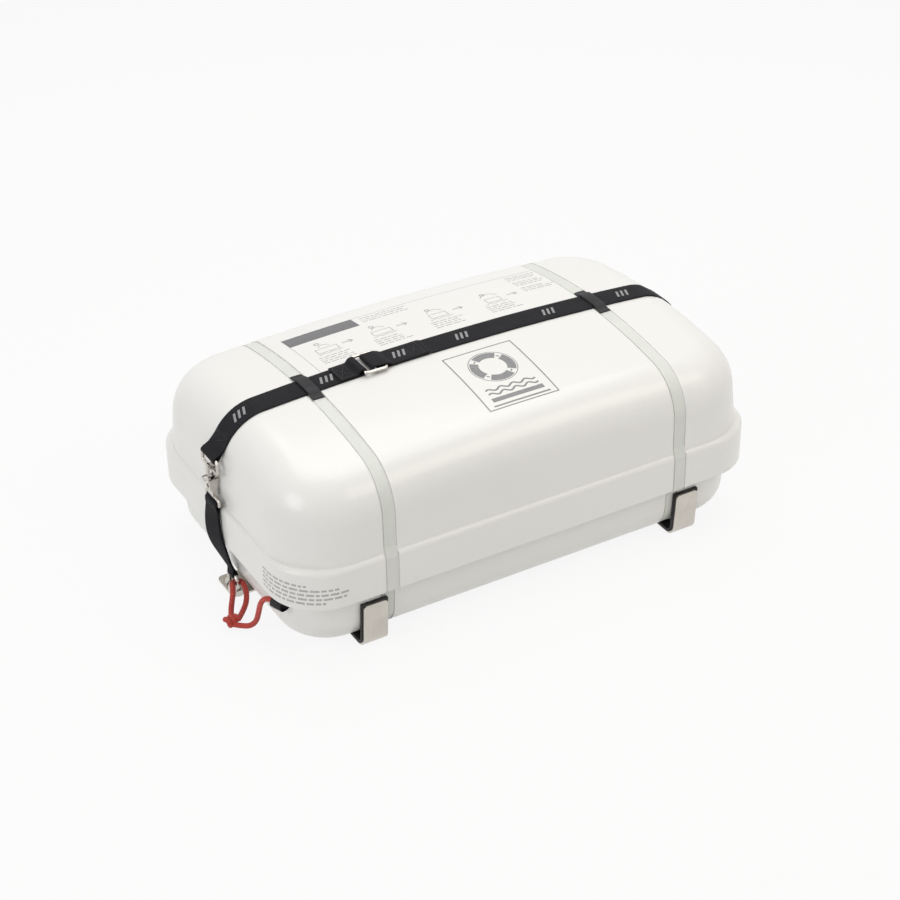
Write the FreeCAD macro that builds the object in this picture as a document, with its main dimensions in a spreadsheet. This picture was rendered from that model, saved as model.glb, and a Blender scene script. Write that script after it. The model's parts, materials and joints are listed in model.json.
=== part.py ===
import FreeCAD, Part
import math
import os
import re
import Sketcher

# Liferaft canister on a stainless deck cradle.
# Millimetres, +X along the length, +Y across the width, +Z up.
# Origin: middle of the footprint, on the deck that the cradle is bolted to.

SIZES = [
    # canister, outside
    ("canister_length", 780.0, "over the belt"),
    ("canister_width", 476.0, "over the belt"),
    ("belt_corner_radius", 80.5, "plan radius of the belt"),
    ("belt_height", 62.0, "parting line up to the ledge"),
    ("belt_shoulder_radius", 8.0, "rounding of the belt's upper edge"),
    ("belt_foot_radius", 1.5, "rounding of the belt's lower edge"),
    ("body_inset", 5.5, "ledge width, belt face to body wall"),
    ("body_height", 147.0, "ledge up to the middle of the crown"),
    ("body_low_radius", 90.0, "plan radius of the body at the ledge"),
    ("body_high_radius", 117.0, "plan radius of the body at the crown"),
    ("body_draft", 1.1, "degrees"),
    ("top_edge_radius", 72.0, "rounding between wall and crown"),
    ("crown_long_radius", 4400.0, "crown along the length"),
    ("crown_cross_radius", 920.0, "crown across the width"),
    ("lower_depth", 85.0, "underside up to the parting line"),
    ("lower_step", 15.6, "belt face to lower wall at the parting line"),
    ("lower_draft", 3.4, "degrees"),
    ("lower_bottom_radius", 43.5, "rounding of the lower edge"),
    ("lower_floor_corner", 76.0, "plan radius at the floor"),
    # canister, walls and joint
    ("shell_wall", 5.0, "laminate thickness"),
    ("rim_gap", 0.5, "lower rim to the belt's inner face"),
    ("rim_rise", 51.0, "parting line up to the top of the lower rim"),
    ("gasket_width", 5.0, "strip between the rim and the ledge"),
    # binding bands
    ("band_spacing", 478.0, "between the middles of the two bands"),
    ("band_width", 17.0, ""),
    ("band_thickness", 1.2, ""),
    ("band_seat_gap", 0.1, "band to the floor of its channel"),
    ("channel_width", 22.0, "moulded channel for a band"),
    ("channel_depth", 2.0, ""),
    ("channel_bend", 5.0, "smallest bend of a channel"),
    # cradle
    ("strip_spacing", 524.0, "between the middles of the two strips"),
    ("strip_width", 38.0, ""),
    ("strip_thickness", 3.0, "stainless flat bar"),
    ("strip_bend_radius", 14.0, "inside radius of the upturn"),
    ("strip_top", 74.0, "height of the upturned ends"),
    ("strip_corner_radius", 6.0, "corners of the upturned ends"),
    ("lining_thickness", 5.0, "rubber under the canister"),
    ("lining_edge", 1.5, "how far a lining shows past its strip"),
    ("lining_reach", 112.0, "inner end of a lining from the middle"),
    ("side_gap", 0.3, "lining to the canister's lower wall"),
    ("deck_hole_spacing", 170.0, "across the deck, on each strip"),
    ("deck_hole_radius", 4.5, "for an 8 mm bolt"),
    ("long_bar_width", 56.0, ""),
    ("long_bar_thickness", 3.0, ""),
    ("rivet_radius", 2.5, ""),
    ("rivet_pitch", 22.0, "between the two rivets of a crossing"),
    ("rivet_head_height", 1.5, ""),
    # end anchors on the long bar
    ("anchor_inset", 11.0, "belt face to an anchor pin"),
    ("anchor_offset", 14.0, "left anchor towards the front"),
    ("anchor_height", 12.0, "deck to an anchor pin"),
    ("lug_thickness", 6.0, ""),
    ("lug_radius", 8.0, "round end of a lug"),
    ("lug_side_gap", 1.0, "right lugs to the webbing"),
    ("shackle_rod_radius", 3.0, ""),
    ("shackle_inside_width", 22.0, ""),
    ("shackle_rise", 24.0, "pin to the middle of the bow's top bar"),
    ("shackle_corner_radius", 6.5, "bend of the bow"),
    ("pin_clearance", 0.05, "shackle and anchor pins in their holes"),
    # lashing
    ("webbing_width", 40.0, ""),
    ("webbing_thickness", 2.2, ""),
    ("webbing_gap", 0.3, "webbing to the canister"),
    ("stitching_length", 26.0, "doubled webbing beyond a loop"),
    ("spare_end_length", 60.0, "free end of the lashing under the right webbing"),
    ("link_at", 141.0, "middle bar of the joining link, left of the middle"),
    ("link_bar_spacing", 17.0, "between neighbouring bars"),
    ("link_rod_radius", 2.5, ""),
    ("link_inside_width", 45.0, ""),
    ("keeper_width", 17.0, ""),
    ("keeper_length", 72.0, ""),
    ("keeper_thickness", 2.0, ""),
    ("strop_width", 34.0, "lower strop at the hook"),
    ("strop_foot_width", 17.0, "lower strop at the shackle"),
    ("strop_belt_bend", 60.0, "bend of the strop outside the belt"),
    ("strop_foot_bend", 40.0, "bend of the strop under the belt"),
    ("strop_side_bend", 30.0, "bend of the strop's sides where it narrows"),
    # slip hook
    ("hook_stand_off", 3.5, "load bar outside the belt face"),
    ("hook_pivot_height", 188.0, ""),
    ("hook_pivot_offset", 1.0, "pivot outside the load bar"),
    ("hook_reach", 26.0, "pivot up to the load bar"),
    ("hook_link_height", 20.0, "between the bars of the end link"),
    ("hook_foot_drop", 30.0, "pivot down to the webbing bar"),
    ("hook_foot_height", 10.0, "between the bars of the webbing eye"),
    ("hook_width", 14.0, ""),
    ("hook_clearance", 0.4, "tongue and jaw to the load bar"),
    ("tongue_thickness", 3.5, ""),
    ("tongue_width", 7.4, ""),
    ("tongue_hub_radius", 4.2, ""),
    ("tongue_side_gap", 0.15, "tongue to the cheeks"),
    ("jaw_thickness", 3.0, ""),
    ("hook_pin_radius", 1.75, ""),
    ("hook_pin_fit", 0.01, "pin in the cheeks"),
    ("hook_running_gap", 0.06, "tongue on its pin"),
    ("ring_rod_radius", 1.3, ""),
    ("ring_gap", 0.3, "retaining ring to the jaw"),
    ("ring_slack", 3.5, "room outside the tongue"),
    ("ring_above_pivot", 9.0, ""),
    # painter
    ("painter_radius", 4.0, ""),
    ("gland_radius", 8.5, ""),
    ("gland_length", 28.0, ""),
    ("gland_neck_radius", 6.0, "through the lower shell"),
    ("gland_angle", 20.0, "degrees round the corner from the end"),
    ("gland_drop", 13.0, "parting line down to the gland"),
    ("gland_stand_off", 1.0, "gland to the lower wall"),
    ("knot_length", 26.0, ""),
    ("knot_width", 22.0, ""),
    ("knot_height", 18.0, ""),
    ("deck_gap", 0.3, "knot above the deck"),
    # packed inside
    ("raft_end_room", 70.0, "belt face to the packed raft, at its ends"),
    ("raft_side_room", 42.0, "belt face to the packed raft, at its sides"),
    ("raft_top_room", 23.4, "packed raft to the crown's inner face"),
    ("raft_corner_radius", 60.0, ""),
    ("raft_edge_radius", 40.0, ""),
    ("packing_gap", 0.3, "between the packed things"),
    ("cylinder_radius", 55.0, "gas cylinder"),
    ("cylinder_length", 400.0, ""),
    ("cylinder_from_middle", 95.0, "towards the rear"),
    ("valve_radius", 19.0, ""),
    ("valve_length", 62.0, ""),
    ("pack_length", 300.0, "emergency pack"),
    ("pack_width", 170.0, ""),
    ("pack_from_middle", 90.0, "towards the front"),
    ("pouch_length", 90.0, "stowed painter"),
    ("pouch_width", 80.0, ""),
    ("pouch_height", 60.0, ""),
    ("soft_edge_radius", 12.0, "edges of the pack and the pouch"),
    # modelling
    ("join_overlap", 2.0, "how far joined or cut forms run into each other"),
]

doc = FreeCAD.newDocument("liferaft_canister")
sheet = doc.addObject("Spreadsheet::Sheet", "sizes")
for row, (name, number, note) in enumerate(SIZES, start=1):
    sheet.set("A%d" % row, name)
    sheet.set("B%d" % row, str(number))
    sheet.setAlias("B%d" % row, name)
    sheet.set("C%d" % row, note)
doc.recompute()

NAMES = [name for name, number, note in SIZES]
S = {name: float(getattr(sheet, name)) for name in NAMES}
NODES = []


# ---------------------------------------------------------------- helpers

def on_sheet(formula):
    """Turn plain size names in a formula into references to the sheet."""
    known = lambda word: "sizes." + word.group(0) if word.group(0) in S else word.group(0)
    return re.sub(r"[a-z_]+[a-z]", known, formula)


def bind(thing, **formulas):
    for prop, formula in formulas.items():
        thing.setExpression(prop.replace("__", "."), on_sheet(formula))
    return thing


def moved(x=0.0, y=0.0, z=0.0, rotation=None):
    return FreeCAD.Placement(FreeCAD.Vector(x, y, z), rotation or FreeCAD.Rotation())


def new_body(name):
    body = doc.addObject("PartDesign::Body", name)
    body.Label = name
    return body


def new_sketch(body, name, role, offset=None):
    """A sketch on one of the body's own origin planes."""
    sketch = body.newObject("Sketcher::SketchObject", name)
    plane = [item for item in body.Origin.OriginFeatures if item.Role == role][0]
    sketch.AttachmentSupport = [(plane, "")]
    sketch.MapMode = "FlatFace"
    sketch.AttachmentOffset = offset or moved()
    return sketch


def rounded_rectangle(sketch, length, width, radius, guess):
    """Rounded rectangle about the sketch origin; guess holds the three sizes in numbers."""
    half_long, half_wide, corner = guess[0] / 2, guess[1] / 2, guess[2]
    vector = FreeCAD.Vector
    corners = [(1, -1, 270), (1, 1, 0), (-1, 1, 90), (-1, -1, 180)]
    arcs = []
    for sx, sy, start in corners:
        centre = vector(sx * (half_long - corner), sy * (half_wide - corner), 0)
        circle = Part.Circle(centre, vector(0, 0, 1), corner)
        first = math.radians(start)
        arcs.append(sketch.addGeometry(Part.ArcOfCircle(circle, first, first + math.pi / 2)))
    ends = [
        ((-half_long + corner, -half_wide), (half_long - corner, -half_wide)),
        ((half_long, -half_wide + corner), (half_long, half_wide - corner)),
        ((half_long - corner, half_wide), (-half_long + corner, half_wide)),
        ((-half_long, half_wide - corner), (-half_long, -half_wide + corner)),
    ]
    lines = [sketch.addGeometry(Part.LineSegment(vector(*a, 0), vector(*b, 0))) for a, b in ends]
    rule = Sketcher.Constraint
    for index in range(4):
        sketch.addConstraint(rule("Tangent", lines[index], 2, arcs[index], 1))
        sketch.addConstraint(rule("Tangent", arcs[index], 2, lines[(index + 1) % 4], 1))
    sketch.addConstraint(rule("Horizontal", lines[0]))
    sketch.addConstraint(rule("Vertical", lines[1]))
    for index in range(1, 4):
        sketch.addConstraint(rule("Equal", arcs[0], arcs[index]))
    sketch.addConstraint(rule("Symmetric", arcs[0], 3, arcs[2], 3, -1, 1))
    named = [
        ("length", rule("DistanceX", lines[3], 1, lines[1], 1, guess[0]), length),
        ("width", rule("DistanceY", lines[0], 1, lines[2], 1, guess[1]), width),
        ("corner", rule("Radius", arcs[0], corner), radius),
    ]
    for name, constraint, formula in named:
        number = sketch.addConstraint(constraint)
        sketch.renameConstraint(number, name)
        sketch.setExpression("Constraints." + name, on_sheet(formula))


def corner_arc(before, corner, after, radius):
    """Start, middle and end of the arc that rounds one corner of an outline."""
    to_before = (before - corner).normalize()
    to_after = (after - corner).normalize()
    half_angle = to_before.getAngle(to_after) / 2
    reach = radius / math.tan(half_angle)
    bisector = (to_before + to_after).normalize()
    centre = corner + bisector * (radius / math.sin(half_angle))
    return corner + to_before * reach, centre - bisector * radius, corner + to_after * reach


def outline_edges(points, closed=True):
    """Lines and arcs through (u, v, corner radius) points, as Part curves."""
    spots = [FreeCAD.Vector(u, v, 0) for u, v, radius in points]
    count = len(points)
    edges = []
    start = None
    first = None
    for index in range(count):
        radius = points[index][2]
        is_end = not closed and index in (0, count - 1)
        if radius > 0 and not is_end:
            begin, middle, end = corner_arc(spots[index - 1], spots[index],
                                            spots[(index + 1) % count], radius)
        else:
            begin, middle, end = spots[index], None, spots[index]
        if start is None:
            first = begin
        elif (begin - start).Length > 1e-6:
            edges.append(Part.LineSegment(start, begin))
        if middle is not None:
            edges.append(Part.Arc(begin, middle, end))
        start = end
    if closed and (first - start).Length > 1e-6:
        edges.append(Part.LineSegment(start, first))
    return edges


def draw(sketch, points, closed=True):
    for curve in outline_edges(points, closed):
        sketch.addGeometry(curve)


def draw_circle(sketch, u, v, radius):
    circle = Part.Circle(FreeCAD.Vector(u, v, 0), FreeCAD.Vector(0, 0, 1), radius)
    sketch.addGeometry(circle)


def pad(body, sketch, length, midplane=False):
    feature = body.newObject("PartDesign::Pad", sketch.Name + "_pad")
    feature.Profile = sketch
    feature.Midplane = midplane
    feature.setExpression("Length", on_sheet(length))
    return feature


def pocket_through(body, sketch):
    feature = body.newObject("PartDesign::Pocket", sketch.Name + "_pocket")
    feature.Profile = sketch
    feature.Type = 1
    feature.Midplane = True
    return feature


def fillet(body, base, edges, radius):
    feature = body.newObject("PartDesign::Fillet", base.Name + "_fillet")
    feature.Base = (base, edges)
    feature.setExpression("Radius", on_sheet(radius))
    return feature


def edges_where(feature, test):
    """Names of the feature's edges whose box passes the test."""
    doc.recompute()
    return ["Edge%d" % (number + 1) for number, edge in enumerate(feature.Shape.Edges)
            if test(edge.BoundBox)]


def boolean(kind, name, *parts):
    """kind is Cut, MultiFuse or MultiCommon."""
    result = doc.addObject("Part::" + kind, name)
    if kind == "Cut":
        result.Base, result.Tool = parts
    else:
        result.Shapes = list(parts)
    result.Label = name
    return result


def extruded(name, points, width, role="XZ_Plane", holes=(), middle=0.0):
    """Body with an outline padded both ways from the plane through middle."""
    body = new_body(name)
    shift = -middle if role == "XZ_Plane" else middle
    sketch = new_sketch(body, name + "_outline", role, moved(z=shift))
    draw(sketch, points)
    for u, v, radius in holes:
        draw_circle(sketch, u, v, radius)
    pad(body, sketch, width, midplane=True)
    return body


def cylinder(name, radius, length, at, direction):
    """Part cylinder from a point along a direction."""
    item = doc.addObject("Part::Cylinder", name)
    bind(item, Radius=radius, Height=length)
    turn = FreeCAD.Rotation(FreeCAD.Vector(0, 0, 1), FreeCAD.Vector(*direction))
    item.Placement = FreeCAD.Placement(FreeCAD.Vector(*at), turn)
    return item


def node(thing, name=None):
    """Mark an object as a finished piece."""
    if name:
        thing.Label = name
    NODES.append(thing)
    return thing


def offset_outline(points, distance, closed=True):
    """The same outline moved to its right-hand side by distance."""
    spots = [FreeCAD.Vector(u, v, 0) for u, v, radius in points]
    count = len(spots)
    pairs = count if closed else count - 1
    ways = [(spots[(i + 1) % count] - spots[i]).normalize() for i in range(pairs)]
    sides = [FreeCAD.Vector(way.y, -way.x, 0) for way in ways]
    result = []
    for index in range(count):
        before = index - 1 if closed or index > 0 else None
        after = index if closed or index < count - 1 else None
        if before is None or after is None:
            side = sides[after if before is None else before]
            spot = spots[index] + side * distance
            result.append((spot.x, spot.y, 0.0))
            continue
        first, second = sides[before], sides[after % count]
        spread = 1 + first.dot(second)
        spot = spots[index] + (first + second) * (distance / spread)
        turn = ways[before].x * ways[after % count].y - ways[before].y * ways[after % count].x
        change = distance if turn > 0 else -distance
        radius = points[index][2]
        result.append((spot.x, spot.y, max(radius + change, 0.0) if radius > 0 else 0.0))
    return result


def ribbon_outline(path, thickness):
    """Closed outline of a strip of even thickness about a path."""
    right = offset_outline(path, thickness / 2, closed=False)
    left = offset_outline(path, -thickness / 2, closed=False)
    return right + left[::-1]


# ---------------------------------------------------------------- levels

bottom_z = S["strip_thickness"] + S["lining_thickness"]
parting_z = bottom_z + S["lower_depth"]
ledge_z = parting_z + S["belt_height"]
crown_z = ledge_z + S["body_height"]
half_length = S["canister_length"] / 2
half_width = S["canister_width"] / 2
anchor_reach = half_length - S["anchor_inset"]
body_slope = math.tan(math.radians(S["body_draft"]))
lower_slope = math.tan(math.radians(S["lower_draft"]))


# ---------------------------------------------------------------- shells

def body_form(name, inset):
    """Upper body: drafted walls, crowned top and a large rounding between them."""
    gap = S[inset] if inset else 0.0
    gap_text = inset if inset else "0"
    body = new_body(name)
    low_z = ledge_z - gap - S["join_overlap"]
    high_z = crown_z - gap
    rise = high_z - low_z
    length = "canister_length - 2 * body_inset - 2 * %s" % gap_text
    width = "canister_width - 2 * body_inset - 2 * %s" % gap_text
    long_side = S["canister_length"] - 2 * S["body_inset"] - 2 * gap
    short_side = S["canister_width"] - 2 * S["body_inset"] - 2 * gap
    lean = " - 2 * tan(body_draft) * (body_height + join_overlap)"
    low = new_sketch(body, name + "_low", "XY_Plane", moved(z=low_z))
    rounded_rectangle(low, length, width, "body_low_radius - " + gap_text,
                      (long_side, short_side, S["body_low_radius"] - gap))
    high = new_sketch(body, name + "_high", "XY_Plane", moved(z=high_z))
    lean_number = 2 * body_slope * rise
    rounded_rectangle(high, length + lean, width + lean, "body_high_radius - " + gap_text,
                      (long_side - lean_number, short_side - lean_number,
                       S["body_high_radius"] - gap))
    walls = body.newObject("PartDesign::AdditiveLoft", name + "_walls")
    walls.Profile = low
    walls.Sections = [high]
    walls.Ruled = True
    # the crown is an arc across the width, turned about an axis far below
    long_radius = S["crown_long_radius"] - gap
    cross_radius = S["crown_cross_radius"] - gap
    reach = S["canister_width"] * 0.6
    edge_rise = long_radius - cross_radius + math.sqrt(cross_radius ** 2 - reach ** 2)
    above = new_sketch(body, name + "_above_crown", "YZ_Plane",
                       FreeCAD.Placement(FreeCAD.Vector(0, high_z - long_radius, 0),
                                         FreeCAD.Rotation()))
    vector = FreeCAD.Vector
    above.addGeometry(Part.Arc(vector(-reach, edge_rise, 0), vector(0, long_radius, 0),
                               vector(reach, edge_rise, 0)))
    lid = long_radius + S["body_height"] / 2
    rim = [vector(reach, edge_rise, 0), vector(reach, lid, 0), vector(-reach, lid, 0),
           vector(-reach, edge_rise, 0)]
    for start, end in zip(rim, rim[1:]):
        above.addGeometry(Part.LineSegment(start, end))
    crown = body.newObject("PartDesign::Groove", name + "_crown")
    crown.Profile = above
    crown.ReferenceAxis = (above, ["H_Axis"])
    crown.Midplane = True
    crown.Angle = 2 * math.degrees(math.asin(S["canister_length"] * 0.55 / long_radius))
    top_edges = edges_where(crown, lambda box: box.ZMin > ledge_z + S["body_height"] / 4)
    fillet(body, crown, top_edges, "top_edge_radius - " + gap_text)
    return body


def belt_form():
    """Belt that laps over the lower shell, with its rounded shoulder."""
    body = new_body("belt")
    sketch = new_sketch(body, "belt_plan", "XY_Plane", moved(z=parting_z))
    rounded_rectangle(sketch, "canister_length", "canister_width", "belt_corner_radius",
                      (S["canister_length"], S["canister_width"], S["belt_corner_radius"]))
    block = pad(body, sketch, "belt_height")
    top = edges_where(block, lambda box: box.ZMin > ledge_z - 1)
    shoulder = fillet(body, block, top, "belt_shoulder_radius")
    foot = edges_where(shoulder, lambda box: box.ZMax < parting_z + 0.01)
    fillet(body, shoulder, foot, "belt_foot_radius")
    return body


def plan_block(name, inset, low_z, height):
    """Rounded block inside the belt; inset is a formula, with its number."""
    formula, number = inset
    body = new_body(name)
    sketch = new_sketch(body, name + "_plan", "XY_Plane", moved(z=low_z))
    twice = " - 2 * (%s)" % formula
    rounded_rectangle(sketch, "canister_length" + twice, "canister_width" + twice,
                      "belt_corner_radius - (%s)" % formula,
                      (S["canister_length"] - 2 * number, S["canister_width"] - 2 * number,
                       S["belt_corner_radius"] - number))
    pad(body, sketch, height)
    return body


def lower_form(name, wall):
    """Lower body: drafted walls and a large rounding round the floor."""
    gap = S[wall] if wall else 0.0
    gap_text = wall if wall else "0"
    above = gap + S["join_overlap"] if wall else 0.0
    above_text = "(%s + join_overlap)" % wall if wall else "0"
    body = new_body(name)
    floor_z = bottom_z + gap
    top_z = parting_z + above
    inset = "lower_step + " + gap_text
    inset_number = S["lower_step"] + gap
    drop = parting_z - floor_z
    rise_lean = lower_slope * above
    fall_lean = lower_slope * drop
    high = new_sketch(body, name + "_high", "XY_Plane", moved(z=top_z))
    twice = " - 2 * (%s) + 2 * tan(lower_draft) * %s" % (inset, above_text)
    rounded_rectangle(high, "canister_length" + twice, "canister_width" + twice,
                      "belt_corner_radius - " + gap_text,
                      (S["canister_length"] - 2 * inset_number + 2 * rise_lean,
                       S["canister_width"] - 2 * inset_number + 2 * rise_lean,
                       S["belt_corner_radius"] - gap))
    low = new_sketch(body, name + "_low", "XY_Plane", moved(z=floor_z))
    twice = " - 2 * (%s) - 2 * tan(lower_draft) * (lower_depth - %s)" % (inset, gap_text)
    rounded_rectangle(low, "canister_length" + twice, "canister_width" + twice,
                      "lower_floor_corner - " + gap_text,
                      (S["canister_length"] - 2 * inset_number - 2 * fall_lean,
                       S["canister_width"] - 2 * inset_number - 2 * fall_lean,
                       S["lower_floor_corner"] - gap))
    walls = body.newObject("PartDesign::AdditiveLoft", name + "_walls")
    walls.Profile = high
    walls.Sections = [low]
    walls.Ruled = True
    floor = edges_where(walls, lambda box: box.ZMax < floor_z + 0.01)
    fillet(body, walls, floor, "lower_bottom_radius - " + gap_text)
    return body


def crown_corner(half_span, arc_radius, apex_z):
    """Corner between a drafted body wall and the crown, and the crown's apex point.

    The corner is where the wall line meets the tangent of the crown at the end of the
    rounding, so an arc of top_edge_radius there is the rounding itself.
    """
    radius = S["top_edge_radius"]
    draft = math.radians(S["body_draft"])
    outward = (math.cos(draft), math.sin(draft))
    along = (-math.sin(draft), math.cos(draft))
    foot = (half_span, ledge_z)
    crown_centre = apex_z - arc_radius
    base = (foot[0] - radius * outward[0], foot[1] - radius * outward[1] - crown_centre)
    half_b = base[0] * along[0] + base[1] * along[1]
    rest = base[0] ** 2 + base[1] ** 2 - (arc_radius - radius) ** 2
    step = -half_b + math.sqrt(half_b ** 2 - rest)
    centre = (base[0] + step * along[0], base[1] + step * along[1])
    unit = (centre[0] / (arc_radius - radius), centre[1] / (arc_radius - radius))
    contact = (unit[0] * arc_radius, unit[1] * arc_radius + crown_centre)
    # the crown's tangent at the contact runs along (unit z, -unit x)
    tangent = (unit[1], -unit[0])
    across = tangent[0] * along[1] - tangent[1] * along[0]
    gap = (foot[0] - contact[0], foot[1] - contact[1])
    travel = (gap[0] * along[1] - gap[1] * along[0]) / across
    corner = (contact[0] + travel * tangent[0], contact[1] + travel * tangent[1])
    apex = crown_centre + arc_radius / unit[1]
    rounding_centre = (centre[0], centre[1] + crown_centre)
    return corner, apex, rounding_centre


def band_section():
    """Girth of the canister under a band, in the YZ plane, anticlockwise."""
    long_radius = S["crown_long_radius"]
    apex_z = crown_z - long_radius + math.sqrt(long_radius ** 2 - (S["band_spacing"] / 2) ** 2)
    corner, apex, centre = crown_corner(half_width - S["body_inset"],
                                        S["crown_cross_radius"], apex_z)
    lower_half = half_width - S["lower_step"]
    bridge_z = parting_z - S["lower_step"]
    bend = S["channel_bend"]
    above_ledge = S["belt_shoulder_radius"]
    right = [
        (lower_half - lower_slope * S["lower_depth"], bottom_z, S["lower_bottom_radius"]),
        (lower_half - lower_slope * S["lower_step"], bridge_z, bend),
        (half_width, parting_z, bend),
        (half_width, ledge_z - S["belt_shoulder_radius"], bend),
        (half_width - S["body_inset"] - body_slope * above_ledge, ledge_z + above_ledge, bend),
        (corner[0], corner[1], S["top_edge_radius"]),
    ]
    left = [(-y, z, radius) for y, z, radius in reversed(right)]
    return right + [(0.0, apex, S["crown_cross_radius"])] + left


def girth_loop(name, outer, inner, width, x):
    """Loop between two offsets of the band section, centred on x."""
    body = new_body(name)
    sketch = new_sketch(body, name + "_loop", "YZ_Plane", moved(z=x))
    section = band_section()
    draw(sketch, offset_outline(section, outer))
    draw(sketch, offset_outline(section, -inner))
    pad(body, sketch, width, midplane=True)
    return body


def channel(side, x):
    return girth_loop("band_channel_" + side, S["join_overlap"], S["channel_depth"],
                      "channel_width", x)


def upper_shell(channels):
    outer = boolean("MultiFuse", "upper_outside", body_form("body_outside", ""),
                    belt_form())
    pocket = plan_block("belt_inside", ("shell_wall", S["shell_wall"]),
                        parting_z - S["join_overlap"],
                        "belt_height - shell_wall + join_overlap")
    hollow = boolean("MultiFuse", "upper_inside", body_form("body_inside", "shell_wall"),
                     pocket)
    walls = boolean("Cut", "upper_walls", outer, hollow)
    return node(boolean("Cut", "upper_shell", walls, channels))


def lower_shell(channels):
    rim_inset = ("shell_wall + rim_gap", S["shell_wall"] + S["rim_gap"])
    inside_inset = ("2 * shell_wall + rim_gap", 2 * S["shell_wall"] + S["rim_gap"])
    rim = plan_block("rim_outside", rim_inset, parting_z, "rim_rise")
    outer = boolean("MultiFuse", "lower_outside", lower_form("tub_outside", ""), rim)
    pocket = plan_block("rim_inside", inside_inset, parting_z + S["shell_wall"], "rim_rise")
    hollow = boolean("MultiFuse", "lower_inside", lower_form("tub_inside", "shell_wall"),
                     pocket)
    walls = boolean("Cut", "lower_walls", outer, hollow)
    spot, outward, along = gland_place()
    reach = S["lower_step"] * 2
    start = spot - outward * reach
    hole = cylinder("painter_hole", "gland_neck_radius", "4 * lower_step",
                    tuple(start), tuple(outward))
    cuts = boolean("MultiFuse", "lower_cuts", channels, hole)
    return node(boolean("Cut", "lower_shell", walls, cuts))


def shell_gasket():
    """Strip between the lower shell's rim and the underside of the ledge."""
    inset = ("shell_wall + rim_gap", S["shell_wall"] + S["rim_gap"])
    inner = ("shell_wall + rim_gap + gasket_width",
             S["shell_wall"] + S["rim_gap"] + S["gasket_width"])
    low_z = parting_z + S["rim_rise"]
    height = "belt_height - shell_wall - rim_rise"
    ring = plan_block("gasket_outside", inset, low_z, height)
    hole = plan_block("gasket_inside", inner, low_z, height)
    node(boolean("Cut", "shell_gasket", ring, hole))


def binding_band(side, x):
    low = S["channel_depth"] - S["band_seat_gap"]
    high = low - S["band_thickness"]
    node(girth_loop("binding_band_" + side, -high, low, "band_width", x))


# ---------------------------------------------------------------- cradle

def wall_line(offset):
    """Lower wall line moved outward by offset, at the deck and at the strips' top."""
    lower_half = half_width - S["lower_step"] + offset / math.cos(math.atan(lower_slope))
    at_deck = lower_half - lower_slope * parting_z
    at_top = lower_half - lower_slope * (parting_z - S["strip_top"])
    return at_deck, at_top


def cradle_strip(side, x):
    """Cross strip with both ends turned up beside the canister."""
    inside = S["side_gap"] + S["lining_thickness"]
    middle = inside + S["strip_thickness"] / 2
    at_deck, at_top = wall_line(middle)
    level = S["strip_thickness"] / 2
    bend = S["strip_bend_radius"] + level
    foot = at_deck + lower_slope * level
    path = [(-at_top, S["strip_top"], 0), (-foot, level, bend), (foot, level, bend),
            (at_top, S["strip_top"], 0)]
    body = extruded("cradle_strip_" + side, ribbon_outline(path, S["strip_thickness"]),
                    "strip_width", "YZ_Plane", middle=x)
    base = body.Tip
    half = S["strip_width"] / 2
    top = edges_where(base, lambda box: box.ZMin > S["strip_top"] - 2 and
                      box.XLength < 0.01 and box.YLength > S["strip_thickness"] * 0.9)
    fillet(body, base, top, "strip_corner_radius")
    holes = new_sketch(body, "cradle_strip_%s_holes" % side, "XY_Plane")
    for sign in (-1, 1):
        draw_circle(holes, x, sign * S["deck_hole_spacing"] / 2, S["deck_hole_radius"])
        draw_circle(holes, x + sign * S["rivet_pitch"] / 2, 0.0, S["rivet_radius"])
    pocket_through(body, holes)
    return node(body)


def rubber_lining(side, end, x, sign):
    """Bonded rubber angle between a strip and the canister."""
    thick = S["lining_thickness"]
    at_deck, at_top = wall_line(S["side_gap"] + thick / 2)
    level = S["strip_thickness"] + thick / 2
    foot = at_deck + lower_slope * level
    bend = S["strip_bend_radius"] - thick / 2
    top = S["strip_top"] + S["lining_edge"]
    path = [(sign * S["lining_reach"], level, 0), (sign * foot, level, bend),
            (sign * (at_top + lower_slope * S["lining_edge"]), top, 0)]
    name = "rubber_lining_%s_%s" % (end, side)
    body = extruded(name, ribbon_outline(path, thick),
                    "strip_width + 2 * lining_edge", "YZ_Plane", middle=x)
    return node(body)


def long_bar():
    """Lengthwise bar on the strips, with the welded lugs for the lashing."""
    low = S["strip_thickness"]
    high = low + S["long_bar_thickness"]
    bar = new_body("long_bar_flat")
    plan = new_sketch(bar, "long_bar_plan", "XY_Plane", moved(z=low))
    reach = anchor_reach + S["lug_radius"]
    rounded_rectangle(plan, "canister_length - 2 * anchor_inset + 2 * lug_radius",
                      "long_bar_width", "lug_radius",
                      (2 * reach, S["long_bar_width"], S["lug_radius"]))
    pad(bar, plan, "long_bar_thickness")
    holes = new_sketch(bar, "long_bar_holes", "XY_Plane")
    for side in (-1, 1):
        for step in (-1, 1):
            x = side * S["strip_spacing"] / 2 + step * S["rivet_pitch"] / 2
            draw_circle(holes, x, 0.0, S["rivet_radius"])
    pocket_through(bar, holes)
    parts = [bar]
    side = right_lug_offset()
    places = [("left", -1, -S["anchor_offset"]), ("right_front", 1, -side),
              ("right_rear", 1, side)]
    radius = S["lug_radius"]
    for name, end, y in places:
        x = end * anchor_reach
        tall = S["anchor_height"] + radius
        foot = low + S["long_bar_thickness"] / 2
        points = [(x - radius, foot, 0), (x + radius, foot, 0),
                  (x + radius, tall, radius * 0.98), (x - radius, tall, radius * 0.98)]
        hole = [(x, S["anchor_height"], S["shackle_rod_radius"] + S["pin_clearance"])]
        parts.append(extruded("lug_" + name, points, "lug_thickness", holes=hole, middle=y))
    return node(boolean("MultiFuse", "cradle_long_bar", *parts))


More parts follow.
